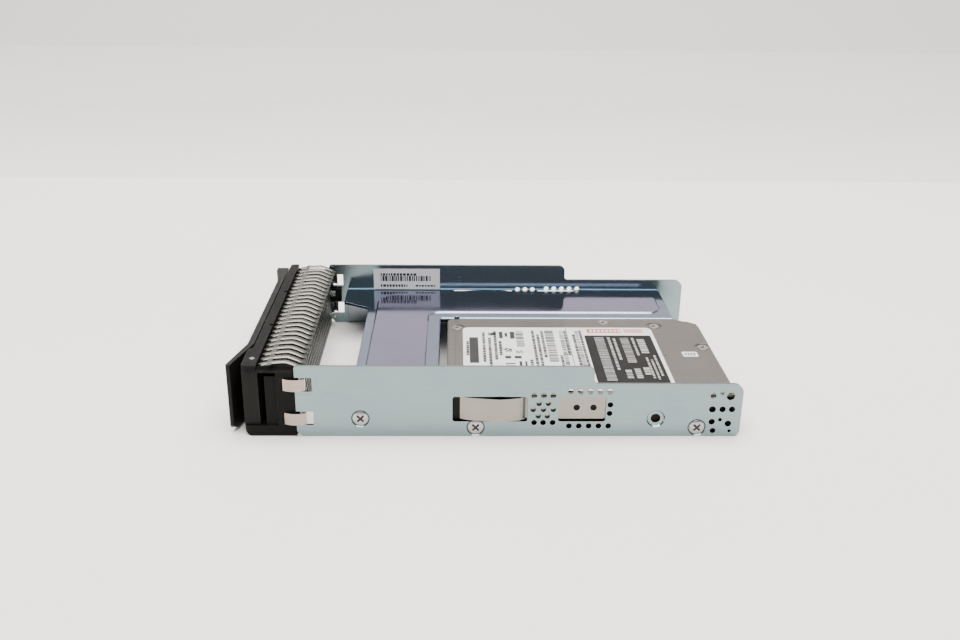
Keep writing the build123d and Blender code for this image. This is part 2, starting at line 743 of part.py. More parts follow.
with BuildPart() as emi_shield:
    with BuildSketch(front_plane(shield_x)):
        with Locations((0, (shield_low_z + shield_top_z) / 2)):
            Rectangle(2 * shield_half, shield_top_z - shield_low_z)
    extrude(amount=shield_sheet)
    with BuildSketch(Plane.XY.offset(shield_top_z - shield_sheet)):
        with Locations((shield_x + 1.2, 0)):
            Rectangle(2.4, 2 * shield_half)
    extrude(amount=shield_sheet)
    with BuildSketch(front_plane(shield_x - 1)):
        for row in range(7):
            with Locations(((row % 2) * shield_pitch / 2, shield_low_z + 2.4 + row * shield_pitch * 0.87)):
                with GridLocations(shield_pitch, 1, 27, 1):
                    RegularPolygon(shield_hole, 6, major_radius=False, rotation=30)
        with Locations(*[(pipe_y, z) for z in pipe_zs]):
            Circle(pipe_radius + 0.3)
    extrude(amount=3, mode=Mode.SUBTRACT)
emi_shield.part.label = "emi_shield"
export_step(emi_shield.part, "parts/emi_shield.step")

with BuildPart() as emi_finger_comb:
    arch = [
        (finger_front_x, shelf_z + 1.6),
        (finger_front_x + 6.5, bezel_top + finger_peak),
        (finger_front_x + 10.5, bezel_top + finger_peak - 0.3),
        (finger_rear_x, shield_top_z + finger_sheet),
    ]
    with BuildSketch(side_plane(comb_half)):
        with BuildLine():
            FilletPolyline(
                (arch[0][0], arch[0][1] - finger_sheet),
                *arch,
                (finger_rear_x, shield_top_z),
                (arch[2][0] - 0.05, arch[2][1] - finger_sheet),
                (arch[1][0] + 0.02, arch[1][1] - finger_sheet),
                radius=[0, 0, 14.0, 7.0, 0, 0, 6.8, 13.8],
                close=True,
            )
        make_face()
    extrude(amount=2 * comb_half)
    # Slots between the fingers: short ones from the front tips, long ones over the arch
    pitch = 2 * comb_half / finger_count
    with BuildSketch(Plane.XY.offset(shelf_z)):
        with Locations((finger_front_x + 0.6, 0)):
            with GridLocations(1, pitch, 1, finger_count - 1):
                SlotOverall(3.2, finger_slot * 0.7)
        with Locations((finger_front_x + 10.2, 0)):
            with GridLocations(1, pitch, 1, finger_count - 1):
                SlotOverall(9.6, finger_slot)
    extrude(amount=bezel_top, mode=Mode.SUBTRACT)
emi_finger_comb.part.label = "emi_finger_comb"
export_step(emi_finger_comb.part, "parts/emi_finger_comb.step")

# ---------------------------------------------------------------- rail label
label_sheet = 0.1
rail_label_front = 132.9
rail_label_rear = 104.4
rail_label_low = 15.5
rail_label_high = 24.8
with BuildPart() as rail_label:
    with BuildSketch(side_plane(rail_inner)):
        rail_label_x = from_plug((rail_label_front + rail_label_rear) / 2)
        with Locations((rail_label_x, (rail_label_low + rail_label_high) / 2)):
            Rectangle(rail_label_front - rail_label_rear, rail_label_high - rail_label_low)
    extrude(amount=label_sheet)
rail_label.part.label = "rail_label"
export_step(rail_label.part, "parts/rail_label.step")

# ---------------------------------------------------------------- drive: levels and centres
board_sheet = 1.0
board_z = drive_lift + 0.9
chip_height = 1.2
floor_z = 5.6
deck_z = 4.2
cover_base_z = drive_top - cover_sheet
cover_step = 0.4
bore_radius = platter_radius + chamber_gap
spindle_x = drive_front_x + drive_width / 2 + 0.05
spindle_y = drive_mid_y
pivot_x = from_plug(pivot_setback)
pivot_y = drive_near_y + pivot_from_side
bay_front_x = spindle_x + 21.0
bay_rear_x = drive_rear_x - 2.6
bay_near_y = drive_near_y + 4.0
bay_far_y = drive_far_y - 1.8
corner_cut = 6.0
post_radius = 2.7
cover_screw_radius = 0.9
cover_head_radius = 2.1
cover_screws_xy = [
    (drive_front_x + 3.7, drive_far_y - 9.7), (drive_front_x + 4.4, drive_near_y + 6.5),
    (spindle_x + 27.5, drive_near_y + 4.0), (spindle_x + 27.5, drive_far_y - 4.0),
    (drive_rear_x - 3.2, drive_near_y + 41.0), (from_plug(18.4), drive_near_y + 62.0),
    (drive_rear_x - 4.0, drive_near_y + 5.0),
]
plug_width = 42.0
plug_height = 5.0
plug_depth = 7.5
plug_y = drive_near_y + 4.8 + plug_width / 2
board_front_x = drive_rear_x - 62.0
board_rear_x = drive_rear_x - 1.0
board_near_y = drive_near_y + 7.0
board_far_y = drive_far_y - 7.0
board_holes = [
    (board_front_x + 3.0, board_near_y + 3.0), (board_front_x + 3.0, board_far_y - 3.0),
    (board_rear_x - 14.0, board_near_y + 3.0), (board_rear_x - 14.0, board_far_y - 3.0),
]


def drive_outline(inset, corner):
    """Top view of the drive, inset all round, with its far rear corner cut back."""
    near = drive_near_y + inset
    far = drive_far_y - inset
    front = drive_front_x + inset
    rear = drive_rear_x - inset
    with BuildSketch(Plane.XY.offset(drive_lift)) as outline:
        with BuildLine():
            FilletPolyline(
                (front, near),
                (rear, near),
                (rear, far - corner_cut),
                (rear - corner_cut, far - 0.9),
                (rear - corner_cut - 2.4, far),
                (front, far),
                radius=[corner, corner, 2.0, 2.0, 1.0, corner],
                close=True,
            )
        make_face()
    return outline.sketch


def chamber_outline():
    """Top view of the sealed space: a round chamber for the disks and a bay for the actuator."""
    with BuildSketch(Plane.XY.offset(floor_z)) as chamber:
        with Locations((spindle_x, spindle_y)):
            Circle(bore_radius)
        with BuildLine():
            FilletPolyline(
                (bay_front_x, bay_near_y),
                (bay_rear_x, bay_near_y),
                (bay_rear_x, bay_far_y - corner_cut),
                (bay_rear_x - corner_cut, bay_far_y),
                (bay_front_x, bay_far_y),
                radius=2.0,
                close=True,
            )
        make_face()
        with Locations(*cover_screws_xy[2:]):
            Circle(post_radius, mode=Mode.SUBTRACT)
    return chamber.sketch


chamber_face = chamber_outline()
casting_face = drive_outline(0, 2.0)
cover_face = drive_outline(0.4, 1.8)

with BuildPart() as drive_base_casting:
    extrude(casting_face, amount=cover_base_z - drive_lift)
    extrude(chamber_face, amount=drive_height, mode=Mode.SUBTRACT)
    # Recess underneath for the circuit board and the plug
    with BuildSketch(Plane.XY.offset(drive_lift)):
        with Locations(((board_front_x + drive_rear_x + 1) / 2, (board_near_y + board_far_y) / 2)):
            Rectangle(drive_rear_x + 1 - board_front_x + 1.0, board_far_y - board_near_y + 1.0)
    extrude(amount=deck_z - drive_lift, mode=Mode.SUBTRACT)
    with BuildSketch(front_plane(drive_rear_x + 1)):
        with Locations((plug_y, drive_lift + (plug_height + 0.4) / 2)):
            Rectangle(plug_width + 0.6, plug_height + 0.4)
    extrude(amount=-plug_depth - 1.3, mode=Mode.SUBTRACT)
    # Stand-offs for the board screws, and the motor's seat in the floor
    with BuildSketch(Plane.XY.offset(board_z + board_sheet)):
        with Locations(*board_holes):
            Circle(2.2)
    extrude(amount=deck_z - board_z - board_sheet)
    with BuildSketch(Plane.XY.offset(board_z + board_sheet)):
        with Locations(*board_holes):
            Circle(0.8)
    extrude(amount=deck_z - board_z - board_sheet + 0.8, mode=Mode.SUBTRACT)
    with BuildSketch(Plane.XY.offset(floor_z)):
        with Locations((spindle_x, spindle_y)):
            Circle(shaft_radius)
        with Locations((pivot_x, pivot_y)):
            Circle(pivot_radius)
    extrude(amount=-1.0, mode=Mode.SUBTRACT)
    # Threaded holes: cover screws, side mounting holes and bottom mounting holes
    with BuildSketch(Plane.XY.offset(cover_base_z)):
        with Locations(*cover_screws_xy):
            Circle(cover_screw_radius)
    extrude(amount=-thread_depth, mode=Mode.SUBTRACT)
    side_hole_depth = drive_bottom_hole_inset - thread_radius - 0.3
    with BuildSketch(side_plane(drive_near_y)):
        with Locations(*[(x, drive_screw_z) for x in drive_hole_xs]):
            Circle(thread_radius)
    extrude(amount=-side_hole_depth, mode=Mode.SUBTRACT)
    with BuildSketch(side_plane(drive_far_y)):
        with Locations(*[(x, drive_screw_z) for x in drive_hole_xs]):
            Circle(thread_radius)
    extrude(amount=side_hole_depth, mode=Mode.SUBTRACT)
    bottom_holes = [(x, drive_near_y + drive_bottom_hole_inset) for x in drive_hole_xs]
    bottom_holes += [(x, drive_far_y - drive_bottom_hole_inset) for x in drive_hole_xs]
    with BuildSketch(Plane.XY.offset(drive_lift)):
        with Locations(*bottom_holes):
            Circle(thread_radius)
    extrude(amount=thread_depth, mode=Mode.SUBTRACT)
drive_base_casting.part.label = "drive_base_casting"
export_step(drive_base_casting.part, "parts/drive_base_casting.step")

# ---------------------------------------------------------------- drive: cover and gasket
gasket_sheet = 0.3
recess_floor = gasket_sheet + 0.15
recess_depth = cover_sheet - recess_floor
gasket_inset = 0.2
gasket_width = 0.6
raised_split_x = from_plug(55.0)
raised_gap = 1.6

with BuildPart() as cover_gasket:
    # Bead laid on the rim all round the sealed space, squeezed in a groove of the cover
    with BuildSketch(Plane.XY.offset(cover_base_z)):
        rim_face = chamber_face.moved(Location((0, 0, cover_base_z - floor_z)))
        offset(rim_face, amount=gasket_inset + gasket_width)
        offset(rim_face, amount=gasket_inset, mode=Mode.SUBTRACT)
    extrude(amount=gasket_sheet)
cover_gasket.part.label = "cover_gasket"
export_step(cover_gasket.part, "parts/cover_gasket.step")

with BuildPart() as drive_top_cover:
    extrude(cover_face, amount=drive_height)
    with BuildSketch(Plane.XY.offset(drive_lift)):
        Rectangle(2 * rear_x, tray_width)
    extrude(amount=cover_base_z - drive_lift, mode=Mode.SUBTRACT)
    # Lower rim around the raised disk and rear fields
    with BuildSketch(Plane.XY.offset(drive_top)):
        Rectangle(2 * rear_x, tray_width)
        front_field = (drive_front_x + 3.2, raised_split_x - raised_gap)
        with Locations((sum(front_field) / 2, drive_mid_y + 1.0)):
            RectangleRounded(front_field[1] - front_field[0], drive_width - 8.0, 5.0, mode=Mode.SUBTRACT)
        rear_field = (raised_split_x, drive_rear_x - 0.8)
        with Locations((sum(rear_field) / 2, drive_mid_y - 1.0)):
            RectangleRounded(rear_field[1] - rear_field[0], drive_width - 4.4, 2.0, mode=Mode.SUBTRACT)
    extrude(amount=-cover_step, mode=Mode.SUBTRACT)
    # Round recesses and clearance holes for the screws, and the slot over the servo port
    with BuildSketch(Plane.XY.offset(drive_top)):
        with Locations(*cover_screws_xy):
            Circle(3.0)
        with Locations((from_plug(20.5), drive_near_y + 33.3)):
            SlotOverall(4.0, 1.2)
    extrude(amount=-recess_depth, mode=Mode.SUBTRACT)
    with BuildSketch(Plane.XY.offset(drive_top)):
        with Locations(*cover_screws_xy):
            Circle(cover_screw_radius)
    extrude(amount=-2 * cover_sheet, mode=Mode.SUBTRACT)
    # Groove that the gasket sits in
    add(cover_gasket.part, mode=Mode.SUBTRACT)
drive_top_cover.part.label = "drive_top_cover"
export_step(drive_top_cover.part, "parts/drive_top_cover.step")

with BuildPart() as cover_screws:
    seat = Plane.XY.offset(drive_top - recess_depth)
    screw(seat, cover_screws_xy, cover_head_radius, recess_depth - 0.05, cover_screw_radius - 0.05, 3.0)
cover_screws.part.label = "cover_screws"
export_step(cover_screws.part, "parts/cover_screws.step")

# ---------------------------------------------------------------- drive: labels
main_label_front = 94.7
main_label_rear = 20.4
dark_label_front = 47.6
dark_label_rear = 21.8
label_near_y = drive_near_y + 2.6
label_far_y = drive_near_y + 59.6

with BuildPart() as main_label:
    with BuildSketch(Plane.XY.offset(drive_top)):
        main_label_x = from_plug((main_label_front + main_label_rear) / 2)
        with Locations((main_label_x, (label_near_y + label_far_y) / 2)):
            RectangleRounded(main_label_front - main_label_rear, label_far_y - label_near_y, 2.5)
    extrude(amount=label_sheet)
main_label.part.label = "main_label"
export_step(main_label.part, "parts/main_label.step")

with BuildPart() as dark_label:
    with BuildSketch(Plane.XY.offset(drive_top + label_sheet)):
        dark_label_x = from_plug((dark_label_front + dark_label_rear) / 2)
        with Locations((dark_label_x, (label_near_y + label_far_y) / 2 - 1.0)):
            RectangleRounded(dark_label_front - dark_label_rear, 43.0, 0.8)
    extrude(amount=label_sheet * 0.6)
dark_label.part.label = "dark_label"
export_step(dark_label.part, "parts/dark_label.step")

with BuildPart() as small_sticker:
    with BuildSketch(Plane.XY.offset(drive_top)):
        with Locations((from_plug(9.9), drive_near_y + 33.8)):
            RectangleRounded(5.8, 4.6, 0.8)
    extrude(amount=label_sheet)
small_sticker.part.label = "small_sticker"
export_step(small_sticker.part, "parts/small_sticker.step")

# ---------------------------------------------------------------- drive: electronics underneath
board_top_z = board_z + board_sheet
with BuildPart() as circuit_board:
    with BuildSketch(Plane.XY.offset(board_z)):
        with Locations(((board_front_x + board_rear_x) / 2, (board_near_y + board_far_y) / 2)):
            RectangleRounded(board_rear_x - board_front_x, board_far_y - board_near_y, 2.0)
        with Locations((board_rear_x, plug_y)):
            Rectangle(2 * plug_depth + 1.0, plug_width + 1.2, mode=Mode.SUBTRACT)
        with Locations(*board_holes):
            Circle(1.0, mode=Mode.SUBTRACT)
    extrude(amount=board_sheet)
circuit_board.part.label = "circuit_board"
export_step(circuit_board.part, "parts/circuit_board.step")

chips = [(14.0, 17.0, 12.0, 12.0), (14.0, 38.0, 9.0, 13.0), (31.0, 20.0, 10.0, 10.0), (31.0, 40.0, 6.0, 6.0)]
chips += [(45.0, 48.0, 5.0, 4.0), (40.0, 30.0, 4.0, 6.0)]
with BuildPart() as board_chips:
    with BuildSketch(Plane.XY.offset(board_top_z)):
        for x, y, length, width in chips:
            with Locations((board_front_x + x, board_near_y + y)):
                Rectangle(length, width)
    extrude(amount=chip_height)
board_chips.part.label = "board_chips"
export_step(board_chips.part, "parts/board_chips.step")

with BuildPart() as board_screws:
    board_seat = Plane.XY.offset(board_z).rotated((180, 0, 0))
    board_shank = board_sheet + deck_z - board_top_z + 0.5
    screw(board_seat, [(x, -y) for x, y in board_holes], 1.8, 0.5, 0.75, board_shank)
board_screws.part.label = "board_screws"
export_step(board_screws.part, "parts/board_screws.step")

plug_rear_x = drive_rear_x
plug_tongue = 1.2
with BuildPart() as host_connector:
    # Shroud with a long slot, in which the contact tongue stands
    with BuildSketch(front_plane(plug_rear_x)):
        with Locations((plug_y, drive_lift + plug_height / 2 + 0.1)):
            Rectangle(plug_width, plug_height)
    extrude(amount=-plug_depth)
    with BuildSketch(front_plane(plug_rear_x)):
        with Locations((plug_y, drive_lift + plug_height / 2 + 0.1)):
            Rectangle(plug_width - 2.0, plug_height - 1.4)
    extrude(amount=-plug_depth + 1.5, mode=Mode.SUBTRACT)
    with BuildSketch(front_plane(plug_rear_x - 0.6)):
        with Locations((plug_y - 7.5, drive_lift + plug_height / 2 + 0.1)):
            Rectangle(22.5, plug_tongue)
        with Locations((plug_y + 12.5, drive_lift + plug_height / 2 + 0.1)):
            Rectangle(12.5, plug_tongue)
    extrude(amount=-plug_depth + 1.5)
host_connector.part.label = "host_connector"
export_step(host_connector.part, "parts/host_connector.step")

contact_pitch = 1.27
with BuildPart() as connector_contacts:
    with BuildSketch(front_plane(plug_rear_x - 1.2)):
        level = drive_lift + plug_height / 2 + 0.1 - plug_tongue / 2 - 0.1
        with Locations((plug_y - 7.5, level)):
            with GridLocations(contact_pitch, 1, 15, 1):
                Rectangle(0.8, 0.2)
        with Locations((plug_y + 12.5, level)):
            with GridLocations(contact_pitch, 1, 7, 1):
                Rectangle(0.8, 0.2)
    extrude(amount=-plug_depth + 2.9)
connector_contacts.part.label = "connector_contacts"
export_step(connector_contacts.part, "parts/connector_contacts.step")

# ---------------------------------------------------------------- drive: spindle motor and disks
first_platter_z = floor_z + 1.4
platter_pitch = platter_thickness + platter_gap
platter_zs = [first_platter_z + i * platter_pitch for i in range(platter_count)]
stack_top_z = platter_zs[-1] + platter_thickness
hub_wall_radius = platter_bore - 0.05
hub_rim_radius = platter_bore + 1.8
hub_roof_z = first_platter_z + 3.6
stator_radius = 6.6
rotor_inner_radius = 7.2
rotor_outer_radius = 8.4
clamp_sheet = 0.6
spindle_point = (spindle_x, spindle_y)

with BuildPart() as spindle_shaft:
    with BuildSketch(Plane.XY.offset(floor_z - 1.0)):
        with Locations(spindle_point):
            Circle(shaft_radius)
    extrude(amount=stack_top_z + 0.8 - floor_z + 1.0)
spindle_shaft.part.label = "spindle_shaft"
export_step(spindle_shaft.part, "parts/spindle_shaft.step")

with BuildPart() as bearing_sleeve:
    with BuildSketch(Plane.XY.offset(floor_z + 0.4)):
        with Locations(spindle_point):
            Circle(shaft_radius + 1.2)
            Circle(shaft_radius + shaft_clearance, mode=Mode.SUBTRACT)
    extrude(amount=stack_top_z + 0.4 - floor_z - 0.4)
bearing_sleeve.part.label = "bearing_sleeve"
export_step(bearing_sleeve.part, "parts/bearing_sleeve.step")

with BuildPart() as spindle_hub:
    with BuildSketch(Plane.XY.offset(floor_z + 0.5)):
        with Locations(spindle_point):
            Circle(hub_rim_radius)
    extrude(amount=first_platter_z - floor_z - 0.5)
    with BuildSketch(Plane.XY.offset(first_platter_z)):
        with Locations(spindle_point):
            Circle(hub_wall_radius)
    extrude(amount=stack_top_z - first_platter_z - 0.2)
    with BuildSketch(Plane.XY.offset(floor_z)):
        with Locations(spindle_point):
            Circle(rotor_outer_radius)
    extrude(amount=hub_roof_z - floor_z, mode=Mode.SUBTRACT)
    with BuildSketch(Plane.XY.offset(floor_z)):
        with Locations(spindle_point):
            Circle(shaft_radius + 1.2)
    extrude(amount=drive_height, mode=Mode.SUBTRACT)
    with BuildSketch(Plane.XY.offset(stack_top_z)):
        with Locations(spindle_point):
            with PolarLocations(6.6, 6):
                Circle(0.6)
    extrude(amount=-2.0, mode=Mode.SUBTRACT)
spindle_hub.part.label = "spindle_hub"
export_step(spindle_hub.part, "parts/spindle_hub.step")

with BuildPart() as rotor_magnet:
    with BuildSketch(Plane.XY.offset(floor_z + 0.8)):
        with Locations(spindle_point):
            Circle(rotor_outer_radius)
            Circle(rotor_inner_radius, mode=Mode.SUBTRACT)
    extrude(amount=hub_roof_z - floor_z - 0.9)
rotor_magnet.part.label = "rotor_magnet"
export_step(rotor_magnet.part, "parts/rotor_magnet.step")

with BuildPart() as motor_stator:
    with BuildSketch(Plane.XY.offset(floor_z)):
        with Locations(spindle_point):
            Circle(shaft_radius + 2.4)
            with PolarLocations((stator_radius + shaft_radius) / 2 + 0.3, 9):
                Rectangle(stator_radius - shaft_radius - 1.2, 1.5)
            Circle(shaft_radius + 1.5, mode=Mode.SUBTRACT)
    extrude(amount=hub_roof_z - floor_z - 0.6)
motor_stator.part.label = "motor_stator"
export_step(motor_stator.part, "parts/motor_stator.step")

with BuildPart() as platters:
    for z in platter_zs:
        with BuildSketch(Plane.XY.offset(z)):
            with Locations(spindle_point):
                Circle(platter_radius)
                Circle(platter_bore, mode=Mode.SUBTRACT)
        extrude(amount=platter_thickness)
platters.part.label = "platters"
export_step(platters.part, "parts/platters.step")

with BuildPart() as platter_spacers:
    for z in platter_zs[:-1]:
        with BuildSketch(Plane.XY.offset(z + platter_thickness)):
            with Locations(spindle_point):
                Circle(hub_rim_radius)
                Circle(platter_bore, mode=Mode.SUBTRACT)
        extrude(amount=platter_gap)
platter_spacers.part.label = "platter_spacers"
export_step(platter_spacers.part, "parts/platter_spacers.step")

with BuildPart() as disk_clamp:
    with BuildSketch(Plane.XY.offset(stack_top_z)):
        with Locations(spindle_point):
            Circle(hub_rim_radius)
            Circle(shaft_radius + 1.8, mode=Mode.SUBTRACT)
            with PolarLocations(6.6, 6):
                Circle(0.7, mode=Mode.SUBTRACT)
    extrude(amount=clamp_sheet)
disk_clamp.part.label = "disk_clamp"
export_step(disk_clamp.part, "parts/disk_clamp.step")

with BuildPart() as clamp_screws:
    clamp_seat = Plane(origin=(spindle_x, spindle_y, stack_top_z + clamp_sheet))
    angles = [math.radians(60 * i) for i in range(6)]
    clamp_points = [(6.6 * math.cos(a), 6.6 * math.sin(a)) for a in angles]
    screw(clamp_seat, clamp_points, 1.1, 0.35, 0.55, clamp_sheet + 1.6)
clamp_screws.part.label = "clamp_screws"
export_step(clamp_screws.part, "parts/clamp_screws.step")

# ---------------------------------------------------------------- drive: actuator
to_spindle = math.degrees(math.atan2(spindle_y - pivot_y, spindle_x - pivot_x))
parked_radius = platter_radius + 2.0
pivot_distance = math.hypot(spindle_x - pivot_x, spindle_y - pivot_y)


def arm_angle(head_radius_on_disk):
    """Angle between the arm and the line to the spindle when the head stands at that disk radius."""
    opposite = pivot_distance**2 + actuator_reach**2 - head_radius_on_disk**2
    return math.degrees(math.acos(opposite / (2 * pivot_distance * actuator_reach)))


parked_angle = to_spindle - arm_angle(parked_radius)
gap_zs = [floor_z + 0.75] + [z + platter_thickness + platter_gap / 2 for z in platter_zs]
gap_zs[-1] = stack_top_z + 0.75
arm_sheet = 0.7
arm_reach = 22.0
block_radius = 4.4
bearing_radius = 3.0
coil_level = (gap_zs[0] + gap_zs[-1]) / 2
coil_height = 1.8
coil_inner = 8.0
coil_outer = 17.5
coil_spread = 20.0
arm_direction = Vector(1, 0, 0).rotate(Axis.Z, parked_angle)
pivot_plane = Plane(origin=(pivot_x, pivot_y, 0), x_dir=arm_direction, z_dir=(0, 0, 1))


def polar(radius, degrees):
    """Point in the actuator's plane; the arm lies along local +X."""
    return (radius * math.cos(math.radians(degrees)), radius * math.sin(math.radians(degrees)))


def sector(inner, outer, centre, spread, height):
    """Face of a ring sector in the actuator's plane at that height, spread to each side of centre."""
    with BuildSketch(pivot_plane.offset(height)) as wedge:
        with BuildLine():
            ThreePointArc(
                polar(outer, centre - spread), polar(outer, centre), polar(outer, centre + spread)
            )
            Line(polar(outer, centre + spread), polar(inner, centre + spread))
            ThreePointArc(
                polar(inner, centre + spread), polar(inner, centre), polar(inner, centre - spread)
            )
            Line(polar(inner, centre - spread), polar(outer, centre - spread))
        make_face()
    return wedge.sketch


coil_ring = sector(coil_inner, coil_outer, 180, coil_spread, coil_level - coil_height / 2)
coil_hole = sector(coil_inner + 2.6, coil_outer - 2.6, 180, coil_spread - 9, coil_level - coil_height / 2)
fork_face = sector(bearing_radius + 0.6, coil_inner, 180, coil_spread + 6, coil_level - coil_height / 2)

with BuildPart() as pivot_shaft:
    with BuildSketch(Plane.XY.offset(floor_z - 1.0)):
        with Locations((pivot_x, pivot_y)):
            Circle(pivot_radius)
    extrude(amount=stack_top_z + 0.9 - floor_z + 1.0)
pivot_shaft.part.label = "pivot_shaft"
export_step(pivot_shaft.part, "parts/pivot_shaft.step")

with BuildPart() as pivot_bearing:
    with BuildSketch(Plane.XY.offset(floor_z + 0.4)):
        with Locations((pivot_x, pivot_y)):
            Circle(bearing_radius)
            Circle(pivot_radius + shaft_clearance, mode=Mode.SUBTRACT)
    extrude(amount=stack_top_z + 0.6 - floor_z)
pivot_bearing.part.label = "pivot_bearing"
export_step(pivot_bearing.part, "parts/pivot_bearing.step")

with BuildPart() as actuator_arm:
    with BuildSketch(pivot_plane.offset(gap_zs[0] - arm_sheet / 2)):
        Circle(block_radius)
    extrude(amount=gap_zs[-1] - gap_zs[0] + arm_sheet)
    for z in gap_zs:
        with BuildSketch(pivot_plane.offset(z - arm_sheet / 2)):
            with BuildLine():
                Polyline(
                    (0, -block_radius + 0.4),
                    (arm_reach, -1.6),
                    (arm_reach, 1.6),
                    (0, block_radius - 0.4),
                    close=True,
                )
            make_face()
            with Locations((arm_reach * 0.62, 0)):
                SlotOverall(8.0, 2.0, mode=Mode.SUBTRACT)
        extrude(amount=arm_sheet)
    extrude(fork_face, amount=coil_height)
    with BuildSketch(pivot_plane.offset(floor_z)):
        Circle(bearing_radius)
    extrude(amount=drive_height, mode=Mode.SUBTRACT)
actuator_arm.part.label = "actuator_arm"
export_step(actuator_arm.part, "parts/actuator_arm.step")

with BuildPart() as head_suspensions:
    for level, z in enumerate(gap_zs):
        with BuildSketch(pivot_plane.offset(z - 0.1)):
            with BuildLine():
                Polyline(
                    (arm_reach, -1.5), (actuator_reach - 2.0, -0.5), (actuator_reach + 1.5, -0.3),
                    (actuator_reach + 1.5, 0.3), (actuator_reach - 2.0, 0.5), (arm_reach, 1.5), close=True,
                )
            make_face()
        extrude(amount=0.2)
        # Head sliders, facing the disk above and the disk below
        with BuildSketch(pivot_plane.offset(z)):
            with Locations((actuator_reach, 0)):
                Rectangle(1.2, 0.9)
        if level > 0:
            extrude(amount=-0.45)
        else:
            extrude(amount=0.35)
        if 0 < level < platter_count:
            with BuildSketch(pivot_plane.offset(z)):
                with Locations((actuator_reach, 0)):
                    Rectangle(1.2, 0.9)
            extrude(amount=0.45)
head_suspensions.part.label = "head_suspensions"
export_step(head_suspensions.part, "parts/head_suspensions.step")

with BuildPart() as voice_coil:
    extrude(coil_ring, amount=coil_height)
    extrude(coil_hole, amount=coil_height, mode=Mode.SUBTRACT)
voice_coil.part.label = "voice_coil"
export_step(voice_coil.part, "parts/voice_coil.step")

# Yokes and magnets stand still over and under the coil's whole swing
swing = arm_angle(parked_radius) - arm_angle(14.0)
yoke_centre = 180 + swing / 2
yoke_spread = coil_spread + swing / 2 - 6
yoke_sheet = 1.0
magnet_sheet = 1.0
magnet_gap = 0.5
coil_low = coil_level - coil_height / 2
coil_high = coil_level + coil_height / 2
magnet_faces = []
for height in (coil_low - magnet_gap - magnet_sheet, coil_high + magnet_gap):
    magnet_faces.append(sector(coil_inner + 1.4, coil_outer - 0.5, yoke_centre, yoke_spread - 3, height))
lower_yoke_face = sector(coil_inner + 0.6, coil_outer + 1.0, yoke_centre, yoke_spread, floor_z)
upper_yoke_z = coil_high + magnet_gap + magnet_sheet
upper_yoke_face = sector(coil_inner + 0.6, coil_outer + 1.0, yoke_centre, yoke_spread, upper_yoke_z)

with BuildPart() as lower_magnet_yoke:
    extrude(lower_yoke_face, amount=coil_low - magnet_gap - magnet_sheet - floor_z)
lower_magnet_yoke.part.label = "lower_magnet_yoke"
export_step(lower_magnet_yoke.part, "parts/lower_magnet_yoke.step")

with BuildPart() as upper_magnet_yoke:
    extrude(upper_yoke_face, amount=yoke_sheet)
upper_magnet_yoke.part.label = "upper_magnet_yoke"
export_step(upper_magnet_yoke.part, "parts/upper_magnet_yoke.step")

with BuildPart() as voice_coil_magnets:
    for face in magnet_faces:
        extrude(face, amount=magnet_sheet)
voice_coil_magnets.part.label = "voice_coil_magnets"
export_step(voice_coil_magnets.part, "parts/voice_coil_magnets.step")

# ---------------------------------------------------------------- drive: small inner pieces
ramp_face = sector(actuator_reach + 2.2, actuator_reach + 5.0, 0, 4.0, floor_z)
with BuildPart() as load_ramp:
    extrude(ramp_face, amount=stack_top_z - floor_z)
load_ramp.part.label = "load_ramp"
export_step(load_ramp.part, "parts/load_ramp.step")

with BuildPart() as crash_stop:
    stop_point = polar(coil_outer - 2.0, 180 - coil_spread - 8)
    with BuildSketch(pivot_plane.offset(floor_z)):
        with Locations(stop_point):
            Circle(0.9)
    extrude(amount=5.0)
crash_stop.part.label = "crash_stop"
export_step(crash_stop.part, "parts/crash_stop.step")

with BuildPart() as flex_cable:
    with BuildSketch(pivot_plane.offset(floor_z)):
        with Locations((3.0, -block_radius - 3.2)):
            Rectangle(9.0, 0.25)
        with Locations((7.4, -block_radius - 6.0)):
            Rectangle(0.25, 5.8)
    extrude(amount=4.0)
flex_cable.part.label = "flex_cable"
export_step(flex_cable.part, "parts/flex_cable.step")

with BuildPart() as recirculation_filter:
    with BuildSketch(Plane.XY.offset(floor_z)):
        with Locations((bay_rear_x - 22.0, bay_far_y - 8.0)):
            Rectangle(6.0, 2.0, rotation=-20)
    extrude(amount=6.0)
recirculation_filter.part.label = "recirculation_filter"
export_step(recirculation_filter.part, "parts/recirculation_filter.step")

with BuildPart() as breather_filter:
    with BuildSketch(Plane.XY.offset(floor_z)):
        with Locations((bay_rear_x - 7.0, bay_far_y - 18.0)):
            Circle(3.0)
    extrude(amount=1.2)
breather_filter.part.label = "breather_filter"
export_step(breather_filter.part, "parts/breather_filter.step")
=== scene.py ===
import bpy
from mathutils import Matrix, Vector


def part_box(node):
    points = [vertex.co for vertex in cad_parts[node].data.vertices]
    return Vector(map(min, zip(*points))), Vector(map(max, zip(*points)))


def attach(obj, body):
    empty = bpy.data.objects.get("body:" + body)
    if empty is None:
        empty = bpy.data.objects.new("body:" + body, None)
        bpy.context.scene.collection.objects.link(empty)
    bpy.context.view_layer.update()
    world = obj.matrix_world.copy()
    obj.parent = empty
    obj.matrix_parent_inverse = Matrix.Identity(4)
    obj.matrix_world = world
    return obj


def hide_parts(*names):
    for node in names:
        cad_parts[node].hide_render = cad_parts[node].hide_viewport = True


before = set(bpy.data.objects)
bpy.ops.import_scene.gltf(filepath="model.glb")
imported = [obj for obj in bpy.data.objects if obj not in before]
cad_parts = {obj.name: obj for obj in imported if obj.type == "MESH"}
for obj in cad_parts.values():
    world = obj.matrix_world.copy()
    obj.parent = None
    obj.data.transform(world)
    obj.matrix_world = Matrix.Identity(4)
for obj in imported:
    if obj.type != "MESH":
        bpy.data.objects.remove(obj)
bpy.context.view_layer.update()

import math
import random

import bmesh
import bpy
from mathutils import Matrix, Vector

MM = 0.001
ROOT = "tray"
rng = random.Random(20)


